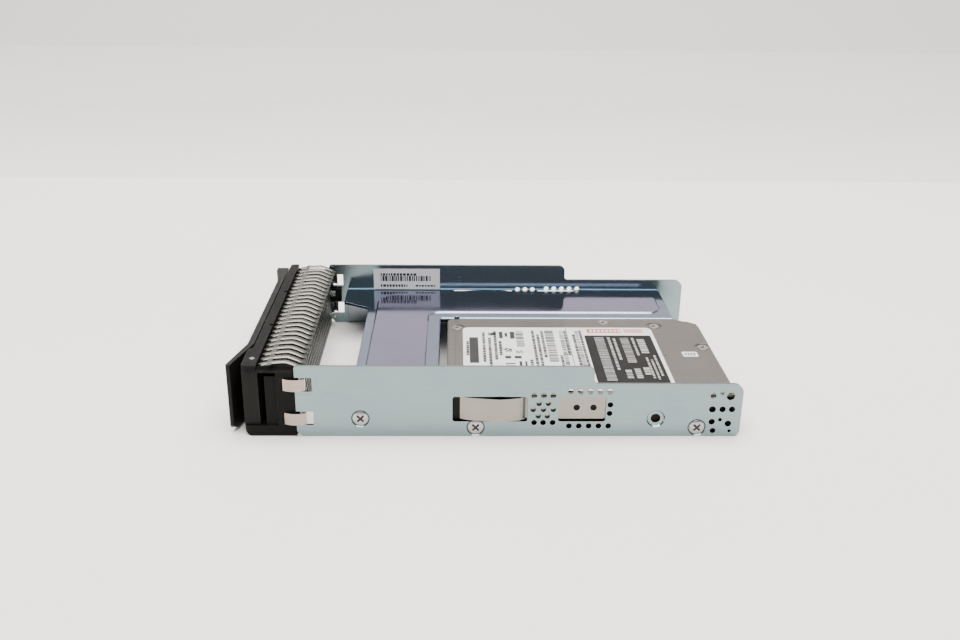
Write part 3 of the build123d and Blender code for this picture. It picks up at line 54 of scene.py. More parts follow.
# ------------------------------------------------------------------ colours
def srgb(red, green, blue, alpha=1.0):
    """Linear colour of a display colour given as 0 to 255."""
    parts = []
    for value in (red, green, blue):
        value /= 255
        parts.append(value / 12.92 if value <= 0.04045 else ((value + 0.055) / 1.055) ** 2.4)
    return (*parts, alpha)


# ------------------------------------------------------------------ material builder
class Look:
    """One procedural material, built node by node on a Principled shader."""

    def __init__(self, name, metallic=0.0, **sockets):
        self.mat = bpy.data.materials.new(name)
        self.mat.use_nodes = True
        self.tree = self.mat.node_tree
        self.tree.nodes.clear()
        out = self.node("ShaderNodeOutputMaterial")
        self.bsdf = self.node("ShaderNodeBsdfPrincipled")
        self.link(self.bsdf.outputs["BSDF"], out.inputs["Surface"])
        self.bsdf.inputs["Metallic"].default_value = metallic
        for key, value in sockets.items():
            self.bsdf.inputs[key.replace("_", " ")].default_value = value
        self.coords = self.node("ShaderNodeTexCoord").outputs["Object"]
        self.normal = None

    def node(self, kind, **props):
        made = self.tree.nodes.new(kind)
        for key, value in props.items():
            setattr(made, key, value)
        return made

    def link(self, source, target):
        self.tree.links.new(source, target)

    def feed(self, target, value):
        if isinstance(value, bpy.types.NodeSocket):
            self.link(value, target)
        else:
            target.default_value = value

    def place(self, size, stretch=(1, 1, 1), turn=(0, 0, 0)):
        """Object coordinates scaled so that one unit is size millimetres, longer along stretched axes."""
        mapping = self.node("ShaderNodeMapping")
        mapping.inputs["Rotation"].default_value = [math.radians(a) for a in turn]
        mapping.inputs["Scale"].default_value = [1 / (size * MM * s) for s in stretch]
        self.link(self.coords, mapping.inputs["Vector"])
        return mapping.outputs["Vector"]

    def noise(self, size, detail=3.0, rough=0.5, stretch=(1, 1, 1), turn=(0, 0, 0)):
        tex = self.node("ShaderNodeTexNoise")
        tex.inputs["Scale"].default_value = 1.0
        tex.inputs["Detail"].default_value = detail
        tex.inputs["Roughness"].default_value = rough
        self.link(self.place(size, stretch, turn), tex.inputs["Vector"])
        return tex.outputs["Fac"]

    def cells(self, size, feature="F1", stretch=(1, 1, 1), output="Distance", turn=(0, 0, 0)):
        tex = self.node("ShaderNodeTexVoronoi", feature=feature)
        tex.inputs["Scale"].default_value = 1.0
        self.link(self.place(size, stretch, turn), tex.inputs["Vector"])
        return tex.outputs[output]

    def span(self, value, low, high, to_low=0.0, to_high=1.0):
        """Maps low..high of a value to another range, clamped."""
        made = self.node("ShaderNodeMapRange")
        self.feed(made.inputs["Value"], value)
        for key, number in zip(("From Min", "From Max", "To Min", "To Max"), (low, high, to_low, to_high)):
            self.feed(made.inputs[key], number)
        return made.outputs["Result"]

    def math(self, operation, a, b=0.0):
        made = self.node("ShaderNodeMath", operation=operation)
        self.feed(made.inputs[0], a)
        self.feed(made.inputs[1], b)
        return made.outputs[0]

    def mix(self, factor, a, b, blend="MIX"):
        made = self.node("ShaderNodeMix", data_type="RGBA", blend_type=blend)
        self.feed(made.inputs[0], factor)
        self.feed(made.inputs[6], a)
        self.feed(made.inputs[7], b)
        return made.outputs[2]

    def axis(self, letter):
        parts = self.node("ShaderNodeSeparateXYZ")
        self.link(self.coords, parts.inputs[0])
        return parts.outputs[letter]

    def facing_up(self):
        """1 on faces that look up, 0 on upright ones, -1 on faces that look down."""
        geometry = self.node("ShaderNodeNewGeometry")
        parts = self.node("ShaderNodeSeparateXYZ")
        self.link(geometry.outputs["Normal"], parts.inputs[0])
        return parts.outputs["Z"]

    def edges(self, radius, low=0.03, high=0.25):
        """1 along edges and corners within radius millimetres, 0 on open faces."""
        bevel = self.node("ShaderNodeBevel", samples=4)
        bevel.inputs["Radius"].default_value = radius * MM
        geometry = self.node("ShaderNodeNewGeometry")
        dot = self.node("ShaderNodeVectorMath", operation="DOT_PRODUCT")
        self.link(bevel.outputs["Normal"], dot.inputs[0])
        self.link(geometry.outputs["Normal"], dot.inputs[1])
        return self.span(self.math("SUBTRACT", 1.0, dot.outputs["Value"]), low, high)

    def soften(self, radius):
        """Rounds edges in the shading by radius millimetres."""
        bevel = self.node("ShaderNodeBevel", samples=4)
        bevel.inputs["Radius"].default_value = radius * MM
        self.normal = bevel.outputs["Normal"]

    def bump(self, height, depth, strength=1.0):
        """Adds relief of depth millimetres."""
        made = self.node("ShaderNodeBump")
        made.inputs["Strength"].default_value = strength
        made.inputs["Distance"].default_value = depth * MM
        self.feed(made.inputs["Height"], height)
        if self.normal is not None:
            self.link(self.normal, made.inputs["Normal"])
        self.normal = made.outputs["Normal"]

    def done(self, colour, roughness):
        self.feed(self.bsdf.inputs["Base Color"], colour)
        self.feed(self.bsdf.inputs["Roughness"], roughness)
        if self.normal is not None:
            self.link(self.normal, self.bsdf.inputs["Normal"])
        return self.mat


# ------------------------------------------------------------------ materials
def sheet_metal(name, body, cloud, rough, rolled=(40, 1, 1), cloud_size=14.0, edge=None, edge_size=0.22,
                grain=0.0015, mottle=0.5, scuff=0.35, patina=None):
    """Plated sheet: clouded plating, rolling lines, scuffs, a bare cut edge and edges tarnished in a band."""
    look = Look(name, metallic=1.0)
    clouds = look.noise(cloud_size, 4.0, 0.55)
    colour = look.mix(look.span(clouds, 0.35, 0.68, 0.0, mottle), body, cloud)
    lines = look.noise(0.35, 3.0, 0.6, rolled)
    colour = look.mix(look.span(lines, 0.3, 0.7, 0.0, 0.12), colour, (0.1, 0.105, 0.11, 1))
    hair = look.noise(0.30, 2.0, 0.7, (30, 1.2, 1), (0, 0, 24))
    spread = look.noise(9.0, 2.0)
    scuffs = look.math("MULTIPLY", look.span(hair, 0.66, 0.74), look.span(spread, 0.52, 0.62))
    colour = look.mix(look.math("MULTIPLY", scuffs, scuff), colour, (0.07, 0.07, 0.075, 1))
    edge_mask = look.edges(edge_size)
    if edge is not None:
        colour = look.mix(look.math("MULTIPLY", edge_mask, 0.8), colour, edge)
    if patina is not None:
        low, high, tone = patina
        height = look.axis("Z")
        band = look.math("MULTIPLY", look.span(height, low * MM, (low + 0.3) * MM),
                         look.span(height, high * MM, (high - 0.3) * MM))
        rims = look.edges(0.7, 0.01, 0.12)
        spotty = look.math("MULTIPLY", rims, look.span(look.noise(1.6, 3.0), 0.38, 0.56))
        colour = look.mix(look.math("MULTIPLY", band, spotty), colour, tone)
    roughness = look.span(clouds, 0.3, 0.7, rough * 0.8, rough * 1.25)
    roughness = look.math("ADD", roughness, look.math("MULTIPLY", scuffs, 0.25))
    roughness = look.math("ADD", roughness, look.math("MULTIPLY", edge_mask, 0.12))
    look.bump(lines, grain)
    look.bump(look.noise(5.0, 2.0), 0.006)
    return look.done(colour, roughness)


def plating_with_tint():
    """Glossy zinc of the bracket: violet on the raised panel, pale blue on the borders below it."""
    look = Look("tinted_zinc", metallic=1.0)
    clouds = look.noise(22.0, 3.0, 0.5)
    height = look.axis("Z")
    border_share = look.span(height, 15.7 * MM, 15.5 * MM)
    panel = look.mix(look.span(clouds, 0.35, 0.65), (0.275, 0.255, 0.390, 1), (0.250, 0.252, 0.360, 1))
    border = look.mix(look.span(clouds, 0.35, 0.65), (0.222, 0.270, 0.375, 1), (0.245, 0.300, 0.390, 1))
    colour = look.mix(border_share, panel, border)
    side = look.span(height, 14.3 * MM, 13.6 * MM)
    colour = look.mix(side, colour, (0.20, 0.225, 0.24, 1))
    lines = look.noise(0.4, 3.0, 0.6, (40, 1, 1))
    colour = look.mix(look.span(lines, 0.3, 0.7, 0.0, 0.07), colour, (0.14, 0.14, 0.16, 1))
    hair = look.noise(0.5, 2.0, 0.7, (1, 16, 1), (0, 0, 12))
    marks = look.math("MULTIPLY", look.span(hair, 0.68, 0.76), look.span(look.noise(12.0, 2.0), 0.56, 0.64))
    colour = look.mix(look.math("MULTIPLY", marks, 0.5), colour, srgb(110, 108, 120))
    edge_mask = look.edges(0.25)
    # Pale blue edge colour is a painted highlight along the bracket's folds and edges.
    colour = look.mix(look.math("MULTIPLY", edge_mask, 0.6), colour, (0.52, 0.56, 0.62, 1))
    roughness = look.span(clouds, 0.3, 0.7, 0.09, 0.15)
    roughness = look.math("ADD", roughness, look.math("MULTIPLY", marks, 0.3))
    look.soften(0.5)
    look.bump(lines, 0.001)
    look.bump(look.noise(14.0, 2.0), 0.012)
    return look.done(colour, roughness)


def moulded(name, body, light, rough, grain=0.12, edge=None, edge_size=0.35, depth=0.006, **sockets):
    """Moulded plastic with a spark-eroded grain, flow marks, and a lighter edge colour that is rub wear on
    most parts and a painted rim highlight on the lever.
    """
    look = Look(name, **sockets)
    flow = look.noise(11.0, 3.0, 0.55, (1, 2.2, 1))
    colour = look.mix(look.span(flow, 0.3, 0.7), body, light)
    pores = look.cells(grain * 2.2, "SMOOTH_F1")
    edge_mask = look.edges(edge_size)
    rub_wear_and_rim_highlight = look.math("MULTIPLY", edge_mask, look.span(look.noise(2.4, 4.0, 0.65), 0.35, 0.6))
    # Lighter edge colour: rub wear on most parts, a painted rim highlight on the lever.
    if edge is not None:
        colour = look.mix(look.math("MULTIPLY", rub_wear_and_rim_highlight, 0.75), colour, edge)
    dust = look.span(look.noise(0.5, 2.0, 0.7), 0.70, 0.80)
    colour = look.mix(look.math("MULTIPLY", dust, 0.05), colour, srgb(120, 118, 112))
    roughness = look.span(flow, 0.3, 0.7, rough * 0.88, rough * 1.12)
    roughness = look.math("SUBTRACT", roughness, look.math("MULTIPLY", rub_wear_and_rim_highlight, 0.12))
    look.soften(0.18)
    look.bump(pores, depth)
    look.bump(look.noise(grain, 3.0, 0.6), depth * 0.6)
    return look.done(colour, roughness)


def turned(name, body, dark, rough, depth=0.002, edge=(0.8, 0.8, 0.79, 1)):
    """Bright machined steel or aluminium with fine tool marks and soft stains."""
    look = Look(name, metallic=1.0)
    stain = look.noise(3.0, 4.0, 0.6)
    colour = look.mix(look.span(stain, 0.4, 0.7, 0.0, 0.6), body, dark)
    marks = look.noise(0.12, 2.0, 0.5, (1, 1, 6))
    edge_mask = look.edges(0.15)
    colour = look.mix(look.math("MULTIPLY", edge_mask, 0.6), colour, edge)
    roughness = look.span(stain, 0.3, 0.7, rough * 0.8, rough * 1.3)
    look.bump(marks, depth)
    return look.done(colour, roughness)


def casting():
    """Cast aluminium of the drive: bare on its flat top, with painted shade on its side walls, where faces
    that do not look up turn near black.
    """
    look = Look("cast_aluminium", metallic=1.0, Specular_IOR_Level=0.3)
    clouds = look.noise(7.0, 4.0, 0.6)
    colour = look.mix(look.span(clouds, 0.3, 0.7), (0.118, 0.115, 0.111, 1), (0.092, 0.090, 0.087, 1))
    specks = look.span(look.cells(1.1), 0.0, 0.16, 1.0, 0.0)
    colour = look.mix(look.math("MULTIPLY", specks, 0.3), colour, (0.08, 0.078, 0.075, 1))
    edge_mask = look.edges(0.3)
    colour = look.mix(look.math("MULTIPLY", edge_mask, 0.6), colour, (0.34, 0.335, 0.325, 1))
    # Painted shade: faces that do not look up (side walls, vents, holes) are painted near black.
    colour = look.mix(look.span(look.facing_up(), 0.35, 0.6, 1.0, 0.0), colour, (0.012, 0.012, 0.012, 1))
    roughness = look.span(clouds, 0.3, 0.7, 0.34, 0.46)
    look.soften(0.15)
    look.bump(look.noise(0.5, 4.0, 0.65), 0.012)
    return look.done(colour, roughness)


def cover_sheet():
    """Satin stamped cover of the drive, warm grey, with fine brushing."""
    look = Look("cover_steel", metallic=1.0)
    clouds = look.noise(16.0, 3.0, 0.5)
    colour = look.mix(look.span(clouds, 0.3, 0.7), (0.178, 0.166, 0.149, 1), (0.194, 0.182, 0.166, 1))
    brush = look.noise(0.16, 3.0, 0.6, (60, 1, 1))
    colour = look.mix(look.span(brush, 0.3, 0.7, 0.0, 0.15), colour, (0.10, 0.095, 0.088, 1))
    edge_mask = look.edges(0.25)
    colour = look.mix(look.math("MULTIPLY", edge_mask, 0.7), colour, (0.34, 0.325, 0.30, 1))
    roughness = look.span(brush, 0.3, 0.7, 0.36, 0.48)
    look.soften(0.2)
    look.bump(brush, 0.002)
    return look.done(colour, roughness)


def paper(name, tone, shade, rough=0.6, rim=(0.4, 0.39, 0.36, 1), **sockets):
    """Label stock: faint fibres, slight yellowing and a worn rim."""
    look = Look(name, **sockets)
    fibres = look.noise(0.25, 4.0, 0.7)
    clouds = look.noise(12.0, 3.0)
    colour = look.mix(look.span(clouds, 0.35, 0.7), tone, shade)
    colour = look.mix(look.span(fibres, 0.35, 0.75, 0.0, 0.12), colour, shade)
    edge_mask = look.edges(0.3)
    colour = look.mix(look.math("MULTIPLY", edge_mask, 0.35), colour, rim)
    roughness = look.span(fibres, 0.3, 0.7, rough * 0.85, rough * 1.15)
    look.bump(fibres, 0.003)
    look.bump(look.noise(9.0, 2.0), 0.01)
    return look.done(colour, roughness)


def ink(name, tone, faded, rough=0.5):
    """Thermal-transfer print with small drop-outs."""
    look = Look(name, Specular_IOR_Level=0.3)
    gaps = look.noise(0.35, 3.0, 0.7)
    colour = look.mix(look.span(gaps, 0.52, 0.72, 0.0, 0.8), tone, faded)
    look.bump(gaps, 0.001)
    return look.done(colour, look.span(gaps, 0.3, 0.7, rough * 0.8, rough * 1.2))


def clear_plastic():
    """Light guides: clear plastic with slight haze."""
    look = Look("light_guide", Transmission_Weight=0.85, IOR=1.49)
    haze = look.noise(1.5, 3.0)
    colour = look.mix(look.span(haze, 0.3, 0.7), srgb(236, 240, 238), srgb(214, 222, 218))
    look.bump(look.noise(0.4, 2.0), 0.002)
    return look.done(colour, look.span(haze, 0.3, 0.7, 0.08, 0.2))


def laminate():
    """Solder-masked circuit board with faint tracks under the mask."""
    look = Look("board_laminate", Coat_Weight=0.3, Coat_Roughness=0.2)
    tracks = look.cells(1.6, "DISTANCE_TO_EDGE", (1, 1, 40))
    lines = look.span(tracks, 0.02, 0.06, 1.0, 0.0)
    weave = look.noise(0.4, 2.0, 0.5)
    colour = look.mix(look.span(weave, 0.3, 0.7), srgb(18, 74, 48), srgb(24, 88, 56))
    colour = look.mix(look.math("MULTIPLY", lines, 0.6), colour, srgb(52, 122, 78))
    vias = look.span(look.cells(2.7), 0.06, 0.10, 1.0, 0.0)
    colour = look.mix(vias, colour, srgb(196, 170, 96))
    look.bump(lines, 0.02)
    return look.done(colour, look.span(weave, 0.3, 0.7, 0.32, 0.44))


def windings():
    """Enamelled copper wire, wound tightly."""
    look = Look("winding_copper", metallic=1.0)
    turns = look.node("ShaderNodeTexWave", wave_type="BANDS", bands_direction="Z")
    turns.inputs["Scale"].default_value = 1.0
    turns.inputs["Distortion"].default_value = 0.4
    look.link(look.place(0.9), turns.inputs["Vector"])
    wire = turns.outputs["Fac"]
    # The darker colour in the grooves between turns is painted shade.
    colour = look.mix(wire, srgb(120, 62, 30), srgb(206, 128, 72))
    look.bump(wire, 0.05)
    return look.done(colour, look.span(wire, 0.0, 1.0, 0.42, 0.25))


def felt():
    """White filter fibre."""
    look = Look("filter_felt", Sheen_Weight=0.4)
    fibres = look.noise(0.3, 5.0, 0.7, (1, 4, 1))
    colour = look.mix(look.span(fibres, 0.3, 0.7), srgb(206, 204, 198), srgb(238, 237, 232))
    look.bump(fibres, 0.08)
    return look.done(colour, look.span(fibres, 0.3, 0.7, 0.8, 0.95))


zinc = sheet_metal("zinc_sheet", (0.218, 0.285, 0.300, 1), (0.190, 0.262, 0.282, 1), 0.14,
                   edge=(0.36, 0.36, 0.27, 1), patina=(15.4, 18.7, (0.20, 0.17, 0.035, 1)))
spring_strip = sheet_metal("spring_strip", (0.150, 0.144, 0.130, 1), (0.110, 0.106, 0.097, 1), 0.26,
                           (14, 1, 1), 6.0, (0.34, 0.33, 0.30, 1), 0.1, 0.001)
leaf_strip = sheet_metal("leaf_strip", (0.27, 0.255, 0.222, 1), (0.235, 0.222, 0.198, 1), 0.2,
                         (14, 1, 1), 9.0, (0.42, 0.40, 0.35, 1), 0.12, 0.001)
clip_strip = sheet_metal("clip_strip", (0.36, 0.30, 0.255, 1), (0.31, 0.265, 0.23, 1), 0.2, (1, 1, 12), 5.0,
                         (0.52, 0.47, 0.41, 1), 0.1, 0.001)
# Near-black body colour is painted shade on the shield, which sits in the bezel's shadow.
shield_painted_shade = moulded("shield_sheet", (0.016, 0.020, 0.016, 1), (0.024, 0.029, 0.024, 1), 0.42, 0.3,
                       (0.16, 0.18, 0.16, 1), 0.12, 0.003, Specular_IOR_Level=0.3)
bracket_metal = plating_with_tint()
black_plastic = moulded("black_plastic", (0.0045, 0.0045, 0.0040, 1), (0.0062, 0.0062, 0.0056, 1), 0.5,
                        edge=(0.030, 0.030, 0.027, 1), Specular_IOR_Level=0.08)
# The lever's light edge colour is a painted highlight on its thin rounded rim.
lever_plastic = moulded("lever_plastic", (0.0050, 0.0050, 0.0043, 1), (0.0070, 0.0070, 0.0061, 1), 0.4,
                        edge=(0.075, 0.075, 0.064, 1), Specular_IOR_Level=0.12)
button_plastic = moulded("button_plastic", (0.022, 0.022, 0.022, 1), (0.029, 0.029, 0.028, 1), 0.42,
                         edge=(0.10, 0.10, 0.095, 1), Specular_IOR_Level=0.25)
resin = moulded("chip_resin", (0.012, 0.012, 0.013, 1), (0.018, 0.018, 0.020, 1), 0.55, 0.2,
                (0.06, 0.06, 0.06, 1), 0.2, Specular_IOR_Level=0.3)
connector_plastic = moulded("connector_plastic", (0.008, 0.008, 0.009, 1), (0.012, 0.012, 0.013, 1), 0.4,
                            edge=(0.05, 0.05, 0.05, 1), Specular_IOR_Level=0.3)
rubber = moulded("gasket_rubber", (0.010, 0.010, 0.010, 1), (0.015, 0.015, 0.015, 1), 0.75, 0.25,
                 depth=0.015)
ramp_plastic = moulded("ramp_plastic", srgb(186, 182, 170), srgb(198, 194, 184), 0.4,
                       edge=srgb(222, 220, 212))
bright_steel = turned("bright_steel", (0.42, 0.42, 0.41, 1), (0.26, 0.26, 0.25, 1), 0.2,
                      edge=(0.6, 0.6, 0.58, 1))
# Dark steel for the screws' cross recesses: painted shade in the recess.
recess_shade_steel = turned("recess_shade_steel", (0.055, 0.055, 0.055, 1), (0.030, 0.030, 0.030, 1), 0.34,
                      edge=(0.12, 0.12, 0.12, 1))
yoke_steel = turned("yoke_steel", srgb(176, 176, 176), srgb(148, 148, 148), 0.28)
spring_wire = turned("spring_wire", srgb(168, 168, 166), srgb(130, 128, 124), 0.26)
hub_metal = turned("hub_aluminium", srgb(184, 184, 184), srgb(164, 164, 164), 0.24, 0.004)
disk_mirror = turned("disk_mirror", srgb(206, 204, 200), srgb(200, 197, 192), 0.04, 0.0001)
magnet_nickel = turned("magnet_nickel", srgb(186, 182, 172), srgb(160, 156, 148), 0.16)
suspension_steel = turned("suspension_steel", srgb(186, 186, 184), srgb(166, 166, 162), 0.2)
gold = turned("contact_gold", srgb(206, 160, 76), srgb(182, 136, 58), 0.22, edge=srgb(232, 196, 120))
film = moulded("flex_film", srgb(130, 72, 18), srgb(152, 88, 26), 0.3, 0.4, depth=0.003)
cast = casting()
cover = cover_sheet()
label_paper = paper("paper_label", (0.62, 0.62, 0.62, 1), (0.54, 0.535, 0.525, 1))
dark_paper = paper("dark_film", (0.0120, 0.0114, 0.0110, 1), (0.016, 0.015, 0.0145, 1), 0.6,
                   rim=(0.05, 0.05, 0.048, 1), Specular_IOR_Level=0.1)
guide = clear_plastic()
board = laminate()
copper = windings()
filter_white = felt()

surfaces = {
    zinc: ["near_side_rail", "far_side_rail"],
    bracket_metal: ["adapter_bracket"],
    spring_strip: ["emi_finger_comb"],
    leaf_strip: ["near_leaf_spring", "far_leaf_spring"],
    clip_strip: ["near_side_clips", "far_side_clips"],
    shield_painted_shade: ["emi_shield"],
    black_plastic: ["front_bezel"],
    lever_plastic: ["release_lever"],
    button_plastic: ["release_button"],
    bright_steel: ["hinge_pin", "bracket_screws", "drive_mounting_screws", "cover_screws", "board_screws",
                   "clamp_screws", "spindle_shaft", "pivot_shaft", "pivot_bearing", "bearing_sleeve"],
    yoke_steel: ["lower_magnet_yoke", "upper_magnet_yoke"],
    spring_wire: ["lever_torsion_spring", "button_spring"],
    guide: ["light_pipes"],
    label_paper: ["rail_label", "main_label", "small_sticker"],
    dark_paper: ["dark_label"],
    cast: ["drive_base_casting", "actuator_arm"],
    hub_metal: ["spindle_hub", "platter_spacers", "disk_clamp"],
    cover: ["drive_top_cover"],
    rubber: ["cover_gasket", "crash_stop"],
    board: ["circuit_board"],
    resin: ["board_chips"],
    connector_plastic: ["host_connector"],
    ramp_plastic: ["load_ramp"],
    gold: ["connector_contacts"],
    disk_mirror: ["platters"],
    magnet_nickel: ["rotor_magnet", "voice_coil_magnets"],
    copper: ["motor_stator", "voice_coil"],
    suspension_steel: ["head_suspensions"],
    film: ["flex_cable"],
    filter_white: ["recirculation_filter", "breather_filter"],
}
for material, names in surfaces.items():
    for name in names:
        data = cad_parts[name].data
        data.materials.clear()
        data.materials.append(material)


# ------------------------------------------------------------------ printed marks
def boxes(name, slabs, material, body=ROOT):
    """One piece made of thin closed slabs, each given by its low and high corner in metres."""
    mesh = bmesh.new()
    for low, high in slabs:
        made = bmesh.ops.create_cube(mesh, size=1.0)["verts"]
        middle = (Vector(low) + Vector(high)) / 2
        extent = Vector(high) - Vector(low)
        place = Matrix.Translation(middle) @ Matrix.Diagonal((*extent, 1))
        bmesh.ops.transform(mesh, matrix=place, verts=made)
    data = bpy.data.meshes.new(name)
    mesh.to_mesh(data)
    mesh.free()
    data.materials.append(material)
    made = bpy.data.objects.new(name, data)
    bpy.context.scene.collection.objects.link(made)
    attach(made, body)
    return made


INK_THICKNESS = 0.02 * MM


def on_top(node, x0, x1, y0, y1):
    """Slab of ink on a label's upper face, from millimetres in the tray's frame."""
    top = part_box(node)[1][2]
    return (x0 * MM, y0 * MM, top), (x1 * MM, y1 * MM, top + INK_THICKNESS)


def code_lines(node, x0, x1, y0, y1, widths=(0.25, 0.5, 0.8), gap=0.8):
    """Bars of a generic code: they run along X and stack along Y."""
    slabs, y = [], y0
    while y < y1 - 0.3:
        thick = rng.choice(widths)
        slabs.append(on_top(node, x0, x1, y, min(y + thick, y1)))
        y += thick + rng.choice(widths) * gap
    return slabs


def text_line(node, x, height, y0, y1, run=(0.5, 2.2), gap=(0.25, 0.7)):
    """A line of small blocks of uneven length that stands for a line of print, running along Y."""
    slabs, y = [], y0
    while y < y1 - run[0]:
        length = min(rng.uniform(*run), y1 - y)
        slabs.append(on_top(node, x, x + height, y, y + length))
        y += length + rng.uniform(*gap)
    return slabs


black_ink = ink("black_ink", (0.012, 0.012, 0.012, 1), (0.06, 0.06, 0.06, 1))
grey_ink = ink("grey_ink", (0.022, 0.022, 0.022, 1), (0.09, 0.09, 0.09, 1))
pale_ink = ink("pale_ink", (0.30, 0.295, 0.285, 1), (0.10, 0.097, 0.093, 1))
orange_ink = ink("orange_ink", (0.42, 0.036, 0.018, 1), (0.46, 0.09, 0.05, 1), 0.6)
pink_ink = ink("pink_ink", (0.52, 0.24, 0.20, 1), (0.54, 0.34, 0.30, 1), 0.6)
white_ink = ink("white_ink", (0.58, 0.57, 0.56, 1), (0.50, 0.30, 0.26, 1), 0.6)


def low_corner(node):
    """X and Y, in millimetres, of a label's front near corner; print is placed from there."""
    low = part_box(node)[0]
    return low[0] / MM, low[1] / MM


def raised(slab):
    """The same slab of ink, one layer higher."""
    return tuple((x, y, z + INK_THICKNESS) for x, y, z in slab)


def matrix_code(node, x, y, size, count=6):
    """A square of small cells, about half of them printed."""
    cell = size / count
    return [on_top(node, x + i * cell, x + (i + 1) * cell, y + j * cell, y + (j + 1) * cell)
            for i in range(count) for j in range(count) if rng.random() < 0.55]


def print_on_main_label():
    """Black bar, codes, icons, lines of print and two coloured strips."""
    node = "main_label"
    x_low, y_low = low_corner(node)
    dark = [on_top(node, x_low + 2.4, x_low + 5.8, y_low + 23.0, y_low + 47.0)]
    for x, y, size in [(14.8, 33.0, 3.6), (19.8, 31.6, 2.8), (9.8, 48.6, 3.0)]:
        dark += matrix_code(node, x_low + x, y_low + y, size)
    # Icons in the front third: x, y, length and width of each block
    for x, y, length, width in [
            (7.5, 3.0, 2.2, 5.0), (7.5, 9.0, 2.2, 4.0), (11.0, 3.5, 5.0, 1.0), (11.0, 6.0, 5.0, 0.7),
            (11.0, 8.0, 5.0, 1.2), (15.0, 13.0, 2.6, 3.4), (19.5, 12.0, 2.2, 4.6), (15.5, 20.0, 3.6, 1.0),
            (15.5, 22.0, 3.6, 1.0), (20.5, 19.5, 1.0, 5.0), (22.6, 19.5, 0.8, 5.0), (15.5, 27.0, 2.2, 2.4),
            (19.0, 27.0, 2.6, 2.4), (14.0, 46.0, 1.4, 6.5), (16.2, 47.5, 1.0, 4.0), (18.2, 45.6, 1.8, 7.0)]:
        dark.append(on_top(node, x_low + x, x_low + x + length, y_low + y, y_low + y + width))
    dark.append(on_top(node, x_low + 40.4, x_low + 40.65, y_low + 0.4, y_low + 56.4))
    grey = []
    # Lines of print: x, start and end of each
    for x, start, end in [
            (1.2, 30.0, 44.0), (7.4, 24.0, 52.0), (9.6, 20.0, 47.0), (11.8, 26.0, 54.0), (13.6, 30.0, 44.0),
            (24.6, 8.0, 26.0), (26.6, 14.0, 54.0), (28.4, 20.0, 50.0), (30.2, 28.0, 54.0), (36.0, 4.0, 14.0),
            (36.0, 18.0, 30.0), (39.2, 30.0, 54.0), (42.4, 6.0, 50.0), (45.2, 12.0, 54.0)]:
        grey += text_line(node, x_low + x, 1.1, y_low + start, y_low + end, (0.7, 2.6), (0.2, 0.4))
    # Bar codes: x, bar length, start and end of each
    for x, length, start, end in [(31.8, 3.4, 24.0, 54.0), (37.4, 1.6, 20.0, 54.0), (34.6, 1.2, 4.0, 20.0),
                                  (43.6, 1.4, 6.0, 54.0), (20.4, 3.0, 38.0, 54.0)]:
        grey += code_lines(node, x_low + x, x_low + x + length, y_low + start, y_low + end)
    orange = [on_top(node, x_low + 48.7, x_low + 62.1, y_low + 51.8, y_low + 55.4)]
    pink = [on_top(node, x_low + 63.2, x_low + 70.6, y_low + 51.8, y_low + 55.4)]
    pale = []
    for index in range(8):
        x = x_low + 49.6 + 1.6 * index
        pale.append(raised(on_top(node, x, x + 1.1, y_low + 52.6, y_low + 54.6)))
    boxes("main_label_dark_print", dark, black_ink)
    boxes("main_label_grey_print", grey, grey_ink)
    boxes("main_label_orange_strip", orange, orange_ink)
    boxes("main_label_pink_strip", pink, pink_ink)
    boxes("main_label_pale_print", pale, white_ink)


def print_on_dark_label():
    """Two columns of bars and pale lines of print."""
    node = "dark_label"
    x_low, y_low = low_corner(node)
    pale = []
    for x, length, start, end in [(3.6, 3.6, 2.0, 41.0), (13.4, 3.2, 17.5, 41.0)]:
        pale += code_lines(node, x_low + x, x_low + x + length, y_low + start, y_low + end,
                           (0.3, 0.4, 0.6), 1.2)
    for x, height, start, end in [(8.6, 1.0, 11.0, 41.0), (10.6, 1.0, 20.0, 41.0), (17.8, 0.9, 24.0, 41.0),
                                  (11.2, 2.2, 4.0, 11.0), (14.6, 2.2, 4.0, 12.0), (18.0, 2.2, 7.0, 14.0),
                                  (20.4, 0.8, 4.0, 22.0), (22.0, 0.8, 3.0, 20.0), (23.6, 0.8, 6.0, 24.0)]:
        pale += text_line(node, x_low + x, height, y_low + start, y_low + end)
    pale += text_line(node, x_low + 19.8, 2.8, y_low + 26.0, y_low + 40.4, (1.1, 1.9), (0.4, 0.6))
    boxes("dark_label_print", pale, pale_ink)


def print_on_small_sticker():
    """Four short bars."""
    node = "small_sticker"
    x_low, y_low = low_corner(node)
    marks = []
    for index in range(4):
        x = x_low + 1.0 + 1.1 * index
        marks.append(on_top(node, x, x + 0.5, y_low + 1.2, y_low + 3.4))
    boxes("small_sticker_print", marks, grey_ink)


def print_on_rail_label():
    """A bar code over rows of print, on the face of the label that looks at the near rail."""
    (x_low, y_face, _), (x_high, _, z_high) = [[v / MM for v in corner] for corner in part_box("rail_label")]

    def on_rail(x0, x1, z0, z1):
        return (x0 * MM, (y_face - 0.02) * MM, z0 * MM), (x1 * MM, y_face * MM, z1 * MM)

    marks = []
    x = x_low + 3.0
    while x < x_high - 4.0:
        thick = rng.choice((0.3, 0.5, 0.9))
        marks.append(on_rail(x, x + thick, z_high - 5.6, z_high - 3.2))
        x += thick + rng.choice((0.25, 0.45))
    # Rows of print: drop from the label's top, height, start and end
    for drop, height, start, end in [(2.2, 1.1, 3.0, 18.5), (7.3, 1.1, 3.0, 14.5), (7.5, 0.8, 18.0, 26.5)]:
        x = x_low + start
        while x < x_low + end:
            length = rng.uniform(0.5, 1.3)
            top = z_high - drop + 0.2
            marks.append(on_rail(x, min(x + length, x_low + end), top - height, top))
            x += length + 0.35
    boxes("rail_label_print", marks, black_ink)


print_on_main_label()
print_on_dark_label()
print_on_small_sticker()
print_on_rail_label()


